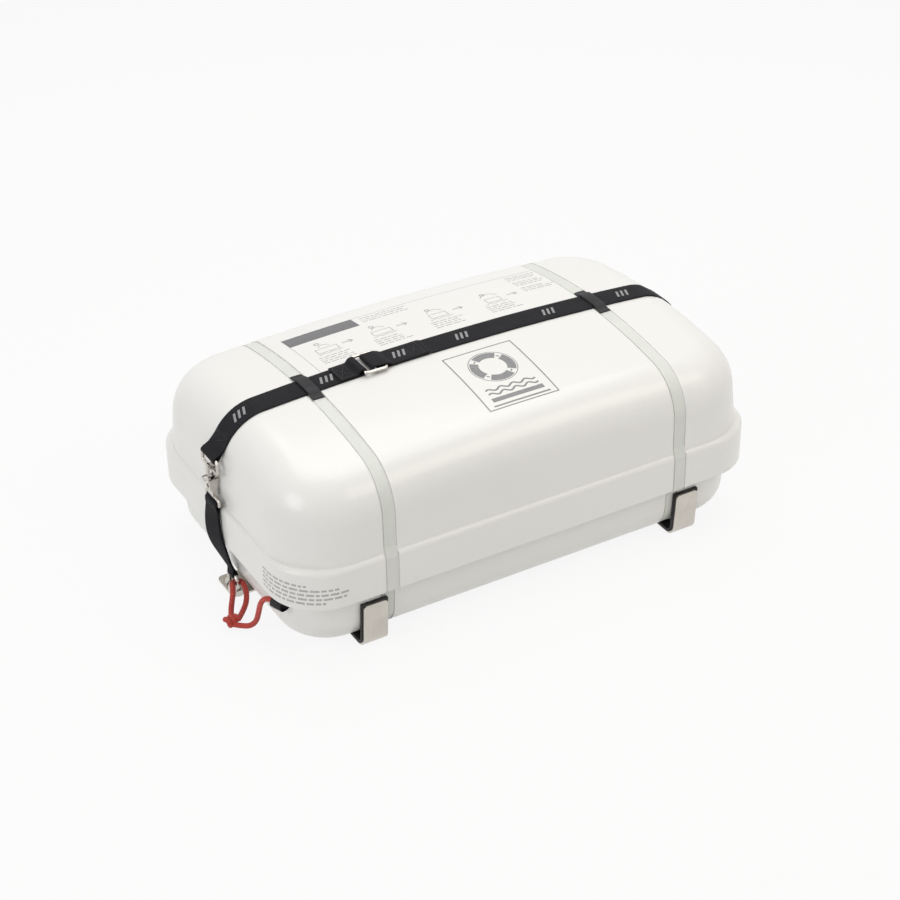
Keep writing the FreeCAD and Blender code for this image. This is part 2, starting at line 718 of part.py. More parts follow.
def right_lug_offset():
    """Middle of a right lug from the centre line, clear of the webbing."""
    return S["webbing_width"] / 2 + S["lug_side_gap"] + S["lug_thickness"] / 2


def rivets():
    """Rivets that hold the long bar on the strips."""
    pins = []
    top = S["strip_thickness"] + S["long_bar_thickness"]
    for side in (-1, 1):
        for step in (-1, 1):
            x = side * S["strip_spacing"] / 2 + step * S["rivet_pitch"] / 2
            body = new_body("rivet_%d_%d" % (side + 1, step + 1))
            sketch = new_sketch(body, body.Name + "_half", "XZ_Plane")
            radius = S["rivet_radius"]
            head = radius * 1.8
            crest = top + S["rivet_head_height"]
            points = [(0, 0, 0), (radius, 0, 0), (radius, top, 0), (head, top, 0),
                      (head * 0.7, crest, 0), (0, crest, 0)]
            draw(sketch, points)
            turn = body.newObject("PartDesign::Revolution", body.Name + "_turned")
            turn.Profile = sketch
            turn.ReferenceAxis = (sketch, ["V_Axis"])
            turn.Angle = 360
            body.Placement = moved(x=x)
            pins.append(body)
    group = doc.addObject("Part::Compound", "cradle_rivets")
    group.Links = pins
    return node(group, "cradle_rivets")


# ---------------------------------------------------------------- anchors

def rod_loop(name, role, points, rod_radius, closed, middle):
    """Rod swept along an outline in one of the body's planes.

    The section sits at the middle of the first straight run.
    """
    body = new_body(name)
    shift = -middle if role == "XZ_Plane" else middle
    spine = new_sketch(body, name + "_spine", role, moved(z=shift))
    draw(spine, points, closed)
    doc.recompute()
    wire = Part.Wire(Part.__sortEdges__(spine.Shape.Edges))
    first = wire.OrderedEdges[0]
    start = first.valueAt(first.FirstParameter)
    way = first.tangentAt(first.FirstParameter)
    section = doc.addObject("Part::Circle", name + "_section")
    section.setExpression("Radius", on_sheet(rod_radius))
    section.Placement = FreeCAD.Placement(start, FreeCAD.Rotation(FreeCAD.Vector(0, 0, 1), way))
    rod = doc.addObject("Part::Sweep", name + "_rod")
    rod.Sections = [section]
    rod.Spine = (spine, ["Edge%d" % (i + 1) for i in range(len(spine.Shape.Edges))])
    rod.Solid = True
    rod.Frenet = False
    rod.Transition = "Round corner"
    return rod


def shackle_eye_half():
    return 1.15 * S["shackle_rod_radius"]


def shackle_bow():
    """Square-topped shackle with an eye at the foot of each leg."""
    y = -S["anchor_offset"]
    leg = S["shackle_inside_width"] / 2 + S["shackle_rod_radius"]
    foot = S["anchor_height"]
    top = foot + S["shackle_rise"]
    corner = S["shackle_corner_radius"]
    path = [(y - leg, foot, 0), (y - leg, top, corner), (y + leg, top, corner),
            (y + leg, foot, 0)]
    rod = rod_loop("shackle_bend", "YZ_Plane", path, "shackle_rod_radius", False,
                   -anchor_reach)
    parts = [rod]
    for side in (-1, 1):
        start = (-anchor_reach, y + side * leg - shackle_eye_half(), foot)
        parts.append(cylinder("shackle_eye_%d" % (side + 1), "1.9 * shackle_rod_radius",
                              "2.3 * shackle_rod_radius", start, (0, 1, 0)))
    solid = boolean("MultiFuse", "shackle_solid", *parts)
    reach = leg + S["shackle_rod_radius"] * 2
    bore = cylinder("shackle_bore", "shackle_rod_radius + pin_clearance",
                    "shackle_inside_width + 8 * shackle_rod_radius",
                    (-anchor_reach, y - reach, foot), (0, 1, 0))
    return node(boolean("Cut", "shackle_bow", solid, bore))


def headed_pin(name, x, y, half, height):
    """Pin along Y with a flat head at the front and a collar at the rear."""
    radius = S["shackle_rod_radius"]
    head = radius * 1.7
    cap = radius * 0.8
    body = new_body(name)
    sketch = new_sketch(body, name + "_half", "XY_Plane")
    points = [(0, -half - cap, 0), (head, -half - cap, 0), (head, -half, 0),
              (radius, -half, 0), (radius, half, 0), (head * 0.9, half, 0),
              (head * 0.9, half + cap, 0), (0, half + cap, 0)]
    draw(sketch, points)
    turn = body.newObject("PartDesign::Revolution", name + "_turned")
    turn.Profile = sketch
    turn.ReferenceAxis = (sketch, ["V_Axis"])
    turn.Angle = 360
    body.Placement = moved(x, y, height)
    return node(body)


# ---------------------------------------------------------------- lashing

def lash_centre_line():
    """Line of the canister's skin under the lashing, in the XZ plane, left to right."""
    corner, apex, centre = crown_corner(half_length - S["body_inset"],
                                        S["crown_long_radius"], crown_z)
    return corner, apex, centre


def tangent_way(point, centre, radius):
    """Unit direction from a point to the upper tangent of a circle on its right."""
    dx, dz = centre[0] - point[0], centre[1] - point[1]
    distance = math.hypot(dx, dz)
    swing = math.asin(radius / distance)
    angle = math.atan2(dz, dx) + swing
    return math.cos(angle), math.sin(angle)


def meet(point, way, other, other_way):
    """Crossing of two lines in the plane."""
    across = way[0] * other_way[1] - way[1] * other_way[0]
    gap = (other[0] - point[0], other[1] - point[1])
    travel = (gap[0] * other_way[1] - gap[1] * other_way[0]) / across
    return point[0] + travel * way[0], point[1] + travel * way[1]


def raised_crown(x, lift):
    """Point on the crown's line raised by lift, and its slope there."""
    radius = S["crown_long_radius"] + lift
    across = math.sqrt(radius ** 2 - x ** 2)
    return (x, crown_z - S["crown_long_radius"] + across), -x / across


def crown_end(lift):
    """Where the raised crown meets the left end's rounding, and the rounding's centre."""
    corner, apex, centre = lash_centre_line()
    slope = (apex - corner[1]) / -corner[0]
    radius = S["crown_long_radius"] + lift
    x = radius * math.sin(math.atan(slope))
    return x, (-centre[0], centre[1])


def crown_bend(first, second, lift):
    """Corner of the outline whose rounding is the crown between two places."""
    start, start_slope = raised_crown(first, lift)
    end, end_slope = raised_crown(second, lift)
    return meet(start, (1.0, start_slope), end, (1.0, end_slope))


def hook_x():
    return -(half_length + S["hook_stand_off"])


def loop_radius(rod):
    return S[rod] + S["webbing_gap"] / 2 + S["webbing_thickness"]


def crown_height(x):
    """Height of the canister's skin at x on the centre line."""
    radius = S["crown_long_radius"]
    return crown_z - radius + math.sqrt(radius ** 2 - x ** 2)


def link_level():
    """Height of the joining link's bars, so that its webbing rests on the crown."""
    return crown_height(link_bar(1)) + S["webbing_gap"] + loop_radius("link_rod_radius")


def link_bar(number):
    """Place of a bar of the joining link: -1 left, 0 middle, 1 right."""
    return -S["link_at"] + number * S["link_bar_spacing"]


def over_bar(x, side, last):
    """Webbing round the bar at x and back above the part of it that lies on the crown.

    Corners of the path from below the bar, over it and past the bar at last, which may be
    the same one, down to the lower layer.
    """
    thick = S["webbing_thickness"]
    around = S["link_rod_radius"] + S["webbing_gap"] / 2 + thick / 2
    level = link_level()
    tight = thick * 3
    lift = S["webbing_gap"] + thick / 2
    run_down = last + side * 5 * thick
    fold_z = crown_height(run_down) + lift + thick + S["webbing_gap"]
    return [(x - side * around, crown_height(x) + lift, around),
            (x - side * around, level + around, around),
            (last + side * thick, level + around, tight),
            (run_down, fold_z, tight)]


def sewn_end(name, at, way, rod, outer):
    """Doubled end of a webbing with its eye round a rod, and the hole for that rod.

    outer is 1 where the folded end lies to the left of way and -1 where to its right.
    """
    reach = S["stitching_length"] + loop_radius(rod)
    shift = outer * S["webbing_thickness"] * 0.44
    start = (at[0] - way[1] * shift, at[1] + way[0] * shift)
    end = (start[0] + way[0] * reach, start[1] + way[1] * reach)
    foot = [(start[0], start[1], 0), (end[0], end[1], 0)]
    flat = extruded(name + "_foot", ribbon_outline(foot, S["webbing_thickness"] * 2),
                    "webbing_width")
    eye = cylinder(name + "_eye", "%s + webbing_gap / 2 + webbing_thickness" % rod,
                   "webbing_width", (at[0], -S["webbing_width"] / 2, at[1]), (0, 1, 0))
    hole = cylinder(name + "_eye_hole", "%s + webbing_gap / 2" % rod, "2 * webbing_width",
                    (at[0], -S["webbing_width"], at[1]), (0, 1, 0))
    return flat, eye, hole


def lashing_left():
    """From the slip's end link over the left shoulder to the joining link."""
    thick = S["webbing_thickness"]
    lift = S["webbing_gap"] + thick / 2
    end_x, centre = crown_end(lift)
    bar = (hook_x(), S["hook_pivot_height"] + S["hook_reach"] + S["hook_link_height"])
    radius = S["top_edge_radius"] + lift
    way = tangent_way(bar, centre, radius)
    contact, slope = raised_crown(end_x, lift)
    turn = meet(bar, way, contact, (1.0, slope))
    bar_x = link_bar(-1)
    join = bar_x - S["stitching_length"] - 8 * thick
    on_crown, join_slope = raised_crown(join, lift)
    bend = crown_bend(end_x, join, lift)
    fold = over_bar(bar_x, -1, bar_x)
    end = fold[-1][0] - S["stitching_length"]
    end_z = crown_height(end) + lift + thick + S["webbing_gap"]
    path = [(bar[0], bar[1], 0), (turn[0], turn[1], radius),
            (bend[0], bend[1], S["crown_long_radius"] + lift),
            (on_crown[0], on_crown[1], 0)] + fold + [(end, end_z, 0)]
    run = extruded("left_run", ribbon_outline(path, thick), "webbing_width")
    flat, eye, hole = sewn_end("left", bar, way, "link_rod_radius", 1)
    solid = boolean("MultiFuse", "left_solid", run, flat, eye)
    return node(boolean("Cut", "lashing_webbing_left", solid, hole))


def lashing_right():
    """From the joining link over the top and the right end down to its anchor."""
    thick = S["webbing_thickness"]
    lift = S["webbing_gap"] + thick / 2
    end_x, centre = crown_end(lift)
    radius = S["top_edge_radius"] + lift
    belt_x = half_length + lift
    belt_high = (belt_x, ledge_z - S["belt_shoulder_radius"])
    belt_low = (belt_x, parting_z)
    # the end run is tight from the shoulder's rounding to the belt
    way = tangent_way((-belt_high[0], belt_high[1]), centre, radius)
    contact, slope = raised_crown(end_x, lift)
    turn = meet((-belt_high[0], belt_high[1]), way, contact, (1.0, slope))
    pin = (anchor_reach, S["anchor_height"])
    # the free end lies on the crown under the run, which comes back over the right bar
    fold = over_bar(link_bar(0), 1, link_bar(1))
    free_end = fold[-1][0] + S["spare_end_length"]
    free_z = crown_height(free_end) + lift
    above = (free_end + 2 * thick, free_z + thick + S["webbing_gap"], 3 * thick)
    join = above[0] + 5 * thick
    on_crown, join_slope = raised_crown(join, lift)
    bend = crown_bend(join, -end_x, lift)
    path = [(free_end, free_z, 0)] + fold
    path += [above, (on_crown[0], on_crown[1], 3 * thick),
             (bend[0], bend[1], S["crown_long_radius"] + lift), (-turn[0], turn[1], radius),
             (belt_high[0], belt_high[1], S["channel_bend"]),
             (belt_low[0], belt_low[1], S["channel_bend"]), (pin[0], pin[1], 0)]
    run = extruded("right_run", ribbon_outline(path, thick), "webbing_width")
    down_way = (belt_low[0] - pin[0], belt_low[1] - pin[1])
    long = math.hypot(*down_way)
    flat, eye, hole = sewn_end("right", pin, (down_way[0] / long, down_way[1] / long),
                               "shackle_rod_radius", -1)
    solid = boolean("MultiFuse", "right_solid", run, flat, eye)
    return node(boolean("Cut", "lashing_webbing_right", solid, hole))


def lashing_keeper(side, x):
    """Folded tab over the lashing, sewn to the binding band at both its ends."""
    thick = S["keeper_thickness"]
    fall = S["keeper_width"] / 2 * abs(x) / S["crown_long_radius"]
    lift = 2 * S["webbing_gap"] + S["webbing_thickness"] + thick / 2 + fall
    skin = crown_height(x)
    cross = S["crown_cross_radius"]
    end = S["keeper_length"] / 2
    end_z = skin - end ** 2 / (2 * cross) - S["channel_depth"] + S["band_thickness"]
    end_z += thick / 2 + S["webbing_gap"]
    over = S["webbing_width"] / 2 + thick
    over_z = skin + lift
    half_band = (end + over) / 2
    half_z = end_z + S["webbing_gap"]
    path = [(-end, end_z, 0), (-half_band, half_z, thick * 2), (-over, over_z, thick * 2),
            (over, over_z, thick * 2), (half_band, half_z, thick * 2), (end, end_z, 0)]
    body = extruded("lashing_keeper_" + side, ribbon_outline(path, thick),
                    "keeper_width", "YZ_Plane", middle=x)
    return node(body)


def joining_link():
    """Three-bar slide that joins and tightens the two webbings."""
    rod = S["link_rod_radius"]
    rail = S["link_inside_width"] / 2 + rod
    left, right = link_bar(-1), link_bar(1)
    bend = rod * 1.6
    points = [(left, 0, 0), (left, -rail, bend), (right, -rail, bend), (right, rail, bend),
              (left, rail, bend)]
    ring = rod_loop("joining_link_bend", "XY_Plane", points, "link_rod_radius", True,
                    link_level())
    bar = cylinder("joining_link_bar", "link_rod_radius",
                   "link_inside_width + 2 * link_rod_radius",
                   (link_bar(0), -rail, link_level()), (0, 1, 0))
    return node(boolean("MultiFuse", "joining_link", ring, bar))


def end_link():
    """Upright link that the slip's tongue closes on."""
    rod = S["link_rod_radius"]
    rail = S["link_inside_width"] / 2 + rod
    low = S["hook_pivot_height"] + S["hook_reach"]
    high = low + S["hook_link_height"]
    bend = rod * 2.2
    points = [(0, low, 0), (rail, low, bend), (rail, high, bend), (-rail, high, bend),
              (-rail, low, bend)]
    link = rod_loop("end_link_bend", "YZ_Plane", points, "link_rod_radius", True, hook_x())
    return node(link, "lashing_end_link")


# ---------------------------------------------------------------- slip hook

def pivot():
    return hook_x() - S["hook_pivot_offset"], S["hook_pivot_height"]


def jaw_faces():
    """Near and far face of the fixed jaw, on the canister's side of the load bar."""
    near = hook_x() + S["link_rod_radius"] + S["hook_clearance"]
    return near, near + S["jaw_thickness"]


def tongue_faces():
    """Inner and outer face of the closed tongue's limb."""
    inner = hook_x() - S["link_rod_radius"] - S["hook_clearance"]
    return inner, inner - S["tongue_thickness"]


def nose_radius():
    """Underside of the tongue's nose, about the pivot, clear of the load bar."""
    reach = math.hypot(S["hook_reach"], S["hook_pivot_offset"])
    return reach + S["link_rod_radius"] + S["hook_clearance"]


def slip_body():
    """Fixed jaw, forked cheeks, shank and webbing eye in one forging."""
    pivot_x, pivot_z = pivot()
    near, far = jaw_faces()
    inner, outer = tongue_faces()
    jaw_span = nose_radius() - 2 * S["hook_clearance"]
    jaw_top = pivot_z + math.sqrt(jaw_span ** 2 - (far - pivot_x) ** 2)
    cheek = S["tongue_hub_radius"] + S["hook_clearance"] * 3
    rod = S["link_rod_radius"]
    middle = hook_x()
    shank = rod + S["hook_clearance"]
    neck_z = pivot_z - 2 * cheek
    foot_z = pivot_z - S["hook_foot_drop"]
    eye_top = foot_z + S["hook_foot_height"]
    points = [(far, jaw_top, 1.0), (near, jaw_top, 1.0), (near, pivot_z + cheek * 1.6, 1.0),
              (outer, pivot_z + cheek, cheek * 0.8), (outer, pivot_z - cheek, cheek * 0.4),
              (middle - shank, neck_z, 2.0), (middle - shank, eye_top, 0),
              (middle + shank, eye_top, 0), (middle + shank, neck_z, 2.0),
              (far, pivot_z - cheek, 2.0)]
    block = extruded("slip_block", points, "hook_width")
    slot_far = pivot_x + S["tongue_hub_radius"] + S["hook_clearance"]
    slot_low = pivot_z - S["tongue_hub_radius"] - 5 * S["hook_clearance"]
    slot = [(slot_far, pivot_z + 3 * cheek, 0), (outer - cheek, pivot_z + 3 * cheek, 0),
            (outer - cheek, slot_low - cheek, 0), (pivot_x, slot_low, 0),
            (slot_far, slot_low, 0)]
    gap = extruded("slip_slot", slot, "tongue_width + 2 * tongue_side_gap")
    bore = cylinder("slip_bore", "hook_pin_radius + hook_pin_fit", "hook_width + 2",
                    (pivot_x, -S["hook_width"] / 2 - 1, pivot_z), (0, 1, 0))
    rail = S["strop_width"] / 2 + S["hook_clearance"] * 2 + rod
    bend = rod * 1.6
    eye_points = [(0, foot_z, 0), (rail, foot_z, bend), (rail, eye_top, bend),
                  (-rail, eye_top, bend), (-rail, foot_z, bend)]
    eye = rod_loop("slip_eye", "YZ_Plane", eye_points, "link_rod_radius", True, middle)
    cuts = boolean("MultiFuse", "slip_cuts", gap, bore)
    forged = boolean("Cut", "slip_forged", block, cuts)
    return node(boolean("MultiFuse", "slip_body", forged, eye))


def slip_tongue():
    """Hinged tongue; its nose is an arc about the pivot, so it swings clear of the bar."""
    pivot_x, pivot_z = pivot()
    near, far = jaw_faces()
    inner, outer = tongue_faces()
    low_radius = nose_radius()
    high_radius = low_radius + S["tongue_thickness"]

    def on_circle(x, radius):
        return FreeCAD.Vector(x, pivot_z + math.sqrt(radius ** 2 - (x - pivot_x) ** 2), 0)

    def crest(radius):
        return FreeCAD.Vector(pivot_x, pivot_z + radius, 0)

    body = new_body("slip_tongue")
    sketch = new_sketch(body, "slip_tongue_side", "XZ_Plane")
    foot_out = FreeCAD.Vector(outer, pivot_z, 0)
    foot_in = FreeCAD.Vector(inner, pivot_z, 0)
    nose = [on_circle(outer, high_radius), on_circle(far, high_radius),
            on_circle(far, low_radius), on_circle(inner, low_radius)]
    sketch.addGeometry(Part.LineSegment(foot_out, nose[0]))
    sketch.addGeometry(Part.Arc(nose[0], crest(high_radius), nose[1]))
    sketch.addGeometry(Part.LineSegment(nose[1], nose[2]))
    sketch.addGeometry(Part.Arc(nose[2], crest(low_radius), nose[3]))
    sketch.addGeometry(Part.LineSegment(nose[3], foot_in))
    sketch.addGeometry(Part.LineSegment(foot_in, foot_out))
    limb = pad(body, sketch, "tongue_width", midplane=True)
    corners = edges_where(limb, lambda box: box.ZMin > pivot_z + low_radius * 0.8 and
                          box.XLength < 0.01 and box.ZLength < 0.01 and
                          box.XMin < inner and box.YLength > 1)
    fillet(body, limb, corners, "tongue_thickness * 0.8")
    hub = cylinder("slip_hub", "tongue_hub_radius", "tongue_width",
                   (pivot_x, -S["tongue_width"] / 2, pivot_z), (0, 1, 0))
    bore = cylinder("slip_tongue_bore", "hook_pin_radius + hook_running_gap",
                    "tongue_width + 2", (pivot_x, -S["tongue_width"] / 2 - 1, pivot_z),
                    (0, 1, 0))
    solid = boolean("MultiFuse", "slip_tongue_solid", body, hub)
    body.Label = "slip_limb"
    return node(boolean("Cut", "slip_tongue_piece", solid, bore), "slip_tongue")


def slip_pin():
    pivot_x, pivot_z = pivot()
    pin = cylinder("slip_hinge_pin", "hook_pin_radius", "hook_width",
                   (pivot_x, -S["hook_width"] / 2, pivot_z), (0, 1, 0))
    return node(pin)


def slip_ring():
    """Retaining ring round the jaw and the closed tongue."""
    near, far = jaw_faces()
    inner, outer = tongue_faces()
    rod = S["ring_rod_radius"]
    inside = far + S["ring_gap"] + rod
    outside = outer - S["ring_slack"] - rod
    half = S["hook_width"] / 2 + S["ring_gap"] * 2 + rod
    middle = (inside + outside) / 2
    bend = rod * 2
    points = [(middle, -half, 0), (inside, -half, bend), (inside, half, bend),
              (outside, half, bend), (outside, -half, bend)]
    level = S["hook_pivot_height"] + S["ring_above_pivot"]
    ring = rod_loop("slip_ring_bend", "XY_Plane", points, "ring_rod_radius", True, level)
    return node(ring, "slip_ring")


def lower_strop():
    """Doubled webbing from the slip's eye to the shackle, slack outside the belt."""
    thick = S["webbing_thickness"]
    pivot_x, pivot_z = pivot()
    top = (hook_x(), pivot_z - S["hook_foot_drop"])
    foot = (-anchor_reach, S["anchor_height"] + S["shackle_rise"])
    bulge = hook_x() - thick * 2
    path = [(top[0], top[1], 0),
            (bulge, parting_z + S["belt_height"] * 0.4, S["strop_belt_bend"]),
            (bulge + thick, parting_z - S["shell_wall"] * 2, S["strop_foot_bend"]),
            (foot[0], foot[1], 0)]
    wide = "strop_width"
    parts = [extruded("strop_run", ribbon_outline(path, thick * 2), wide + " * 2"),
             cylinder("strop_top_eye", "link_rod_radius + webbing_gap / 2 + webbing_thickness",
                      wide + " * 2", (top[0], -S[wide], top[1]), (0, 1, 0)),
             cylinder("strop_foot_eye",
                      "shackle_rod_radius + webbing_gap / 2 + webbing_thickness",
                      wide + " * 2", (foot[0], -S[wide], foot[1]), (0, 1, 0))]
    solid = boolean("MultiFuse", "strop_solid", *parts)
    half_top = S["strop_width"] / 2
    half_foot = S["strop_foot_width"] / 2
    y = -S["anchor_offset"]
    high, low = top[1] + 4 * thick, foot[1] - 4 * thick
    front = [(-half_top, high, 0), (-half_top, parting_z + S["belt_height"] / 2, S["strop_side_bend"]),
             (y - half_foot, foot[1] + 6 * thick, S["strop_side_bend"] / 2), (y - half_foot, low, 0),
             (y + half_foot, low, 0), (y + half_foot, foot[1] + 6 * thick, S["strop_side_bend"] / 2),
             (half_top, parting_z + S["belt_height"] / 2, S["strop_side_bend"]), (half_top, high, 0)]
    shape = extruded("strop_front", front, "4 * lower_step", "YZ_Plane",
                     middle=bulge + thick * 4)
    flat = boolean("MultiCommon", "strop_flat", solid, shape)
    holes = boolean("MultiFuse", "strop_holes",
                    cylinder("strop_top_hole", "link_rod_radius + webbing_gap / 2",
                             wide + " * 3", (top[0], -S[wide] * 1.5, top[1]), (0, 1, 0)),
                    cylinder("strop_foot_hole", "shackle_rod_radius + webbing_gap / 2",
                             wide + " * 3", (foot[0], -S[wide] * 1.5, foot[1]), (0, 1, 0)))
    return node(boolean("Cut", "lower_strop", flat, holes))


# ---------------------------------------------------------------- painter

def gland_place():
    """Middle of the gland, with the outward and the along-wall directions."""
    turn = math.radians(S["gland_angle"])
    outward = FreeCAD.Vector(-math.cos(turn), -math.sin(turn), 0)
    along = FreeCAD.Vector(-math.sin(turn), math.cos(turn), 0)
    height = parting_z - S["gland_drop"]
    corner = S["belt_corner_radius"]
    inset = S["lower_step"] + lower_slope * S["gland_drop"]
    centre = FreeCAD.Vector(-half_length + inset + corner, -half_width + inset + corner, height)
    wall = centre + outward * corner
    return wall + outward * (S["gland_radius"] + S["gland_stand_off"]), outward, along


def painter_gland():
    """Moulded rubber elbow: neck through the shell, tube along the wall, domed front end."""
    spot, outward, along = gland_place()
    half = S["gland_length"] / 2 - S["gland_radius"]
    tube = cylinder("gland_tube", "gland_radius", "gland_length - gland_radius",
                    tuple(spot - along * half), tuple(along))
    dome = doc.addObject("Part::Sphere", "gland_dome")
    bind(dome, Radius="gland_radius")
    dome.Placement = FreeCAD.Placement(spot - along * half, FreeCAD.Rotation())
    reach = S["gland_radius"] + S["gland_stand_off"] + S["shell_wall"]
    neck = cylinder("gland_neck", "gland_neck_radius",
                    "gland_radius + gland_stand_off + shell_wall",
                    tuple(spot - outward * reach), tuple(outward))
    collar_foot = spot - outward * (S["gland_radius"] + S["gland_stand_off"] * 2)
    collar = cylinder("gland_collar", "gland_radius", "gland_radius",
                      tuple(collar_foot), tuple(outward))
    raw = boolean("MultiFuse", "gland_raw", tube, dome, neck, collar)
    shell = doc.getObject("lower_shell")
    return node(boolean("Cut", "painter_gland", raw, shell))


# The painter's line leaves the gland's open end, drops to the deck and ends in the knot; its
# loop goes from the knot round the front leg of the shackle and back. The first points are
# from the gland's middle, the others from the shackle pin's middle on the deck.
LINE_AT_GLAND = [(-4.6, 13.7, 0.0), (-9.9, 28.3, -1.8)]
LINE_TO_KNOT = [
    (-10.5, -116.0, 68.5), (-7.5, -103.5, 47.0), (-8.0, -95.0, 26.0),
    (-15.2, -89.3, 14.0), (-25.4, -82.7, 8.2), (-37.0, -76.0, 8.0),
]
LOOP_POINTS = [
    (-35.0, -64.0, 10.0), (-28.0, -49.0, 13.5), (-17.0, -32.0, 19.0),
    (-9.5, -17.5, 24.5), (-7.5, -6.5, 25.3), (7.5, -6.5, 25.3),
    (7.5, -21.5, 24.5), (3.0, -38.0, 18.0), (-8.5, -54.0, 11.5),
    (-26.0, -69.0, 8.5),
]
KNOT_AT = (-36.0, -69.0)


def arc_radius(before, corner, after):
    """The largest tangent arc that both runs leave room for."""
    first, second = corner - before, after - corner
    turn = first.getAngle(second)
    return 0.45 * min(first.Length, second.Length) / math.tan(turn / 2)


def cord_path(points):
    """Straight runs joined by tangent arcs."""
    edges = []
    start = points[0]
    radii = []
    for before, corner, after in zip(points, points[1:], points[2:]):
        radius = arc_radius(before, corner, after)
        radii.append(round(radius, 1))
        begin, middle, end = corner_arc(before, corner, after, radius)
        edges.append(Part.LineSegment(start, begin).toShape())
        edges.append(Part.Arc(begin, middle, end).toShape())
        start = end
    edges.append(Part.LineSegment(start, points[-1]).toShape())
    print("cord arc radii", radii)
    return Part.Wire(edges)


def cord_tube(name, points):
    """Tube of the painter's size along straight runs and tangent arcs."""
    path = cord_path(points)
    ring = Part.Circle(points[0], points[1] - points[0], S["painter_radius"])
    tube = path.makePipeShell([Part.Wire(ring.toShape())], True, False)
    expected = math.pi * S["painter_radius"] ** 2 * path.Length
    print(name, "length", round(path.Length, 1), "volume", round(tube.Volume),
          "section times length", round(expected))
    item = doc.addObject("Part::Feature", name + "_tube")
    item.Shape = tube
    return item


def painter():
    """Red painter: gland to knot, and the loop tied round the shackle."""
    knot = doc.addObject("Part::Ellipsoid", "painter_knot")
    bind(knot, Radius1="knot_height / 2", Radius2="knot_length / 2", Radius3="knot_width / 2")
    knot.Placement = moved(KNOT_AT[0] - anchor_reach, KNOT_AT[1] - S["anchor_offset"],
                           S["knot_height"] / 2 + S["deck_gap"])
    node(knot)
    gland = doc.getObject("painter_gland")
    spot, outward, along = gland_place()
    shackle = FreeCAD.Vector(-anchor_reach, -S["anchor_offset"], 0)
    line_points = [spot + FreeCAD.Vector(*step) for step in LINE_AT_GLAND]
    line_points += [shackle + FreeCAD.Vector(*step) for step in LINE_TO_KNOT]
    line = cord_tube("painter_line", line_points)
    loop = cord_tube("painter_loop", [shackle + FreeCAD.Vector(*step) for step in LOOP_POINTS])
    around = boolean("MultiFuse", "painter_ends", knot, gland)
    node(boolean("Cut", "painter_line", line, around))
    node(boolean("Cut", "painter_loop", loop, knot))


# ---------------------------------------------------------------- packed inside

def soft_block(name, length, width, height, corner, edge, guess, at):
    body = new_body(name)
    sketch = new_sketch(body, name + "_plan", "XY_Plane")
    rounded_rectangle(sketch, length, width, corner, guess)
    block = pad(body, sketch, height)
    rims = edges_where(block, lambda box: box.ZLength < 0.01)
    fillet(body, block, rims, edge)
    body.Placement = moved(*at)
    return node(body)


def packed_things():
    floor_z = bottom_z + S["shell_wall"] + S["packing_gap"]
    top_z = floor_z + 2 * S["cylinder_radius"] + S["packing_gap"]
    soft_block("packed_raft", "canister_length - 2 * raft_end_room",
               "canister_width - 2 * raft_side_room",
               "lower_depth + belt_height + body_height - 2 * shell_wall"
               " - 2 * cylinder_radius - 2 * packing_gap - raft_top_room", "raft_corner_radius",
               "raft_edge_radius",
               (S["canister_length"] - 2 * S["raft_end_room"],
                S["canister_width"] - 2 * S["raft_side_room"], S["raft_corner_radius"]),
               (0, 0, top_z))
    edge = S["soft_edge_radius"]
    soft_block("emergency_pack", "pack_length", "pack_width", "2 * cylinder_radius",
               "1.5 * soft_edge_radius", "soft_edge_radius",
               (S["pack_length"], S["pack_width"], 1.5 * edge),
               (0, -S["pack_from_middle"], floor_z))
    inner_end = half_length - S["lower_step"] - S["shell_wall"] - S["lower_bottom_radius"]
    soft_block("painter_pouch", "pouch_length", "pouch_width", "pouch_height",
               "1.5 * soft_edge_radius", "soft_edge_radius",
               (S["pouch_length"], S["pouch_width"], 1.5 * edge),
               (-inner_end + S["pouch_length"] / 2, -S["pack_from_middle"] * 1.5, floor_z))
    gas_cylinder(floor_z)


def gas_cylinder(floor_z):
    """Drawn cylinder with domed ends, and the firing head on its neck."""
    radius = S["cylinder_radius"]
    half = S["cylinder_length"] / 2
    neck = S["valve_radius"] * 0.8
    body = new_body("gas_cylinder")
    sketch = new_sketch(body, "gas_cylinder_half", "XZ_Plane")
    dome = radius * 0.7
    points = [(-half, 0, 0), (-half, radius, dome), (half, radius, dome), (half, neck, 5.0),
              (half + neck, neck, 0), (half + neck, 0, 0)]
    draw(sketch, points)
    turn = body.newObject("PartDesign::Revolution", "gas_cylinder_turned")
    turn.Profile = sketch
    turn.ReferenceAxis = (sketch, ["H_Axis"])
    turn.Angle = 360
    centre_z = floor_z + radius
    body.Placement = moved(0, S["cylinder_from_middle"], centre_z)
    node(body)
    start = half + neck
    head = cylinder("valve_head", "valve_radius", "valve_length",
                    (start, S["cylinder_from_middle"], centre_z), (1, 0, 0))
    port = cylinder("valve_port", "valve_radius * 0.5", "valve_radius * 2",
                    (start + S["valve_length"] / 2, S["cylinder_from_middle"], centre_z), (0, -1, 0))
    node(boolean("MultiFuse", "inflation_valve", head, port))


# ---------------------------------------------------------------- everything

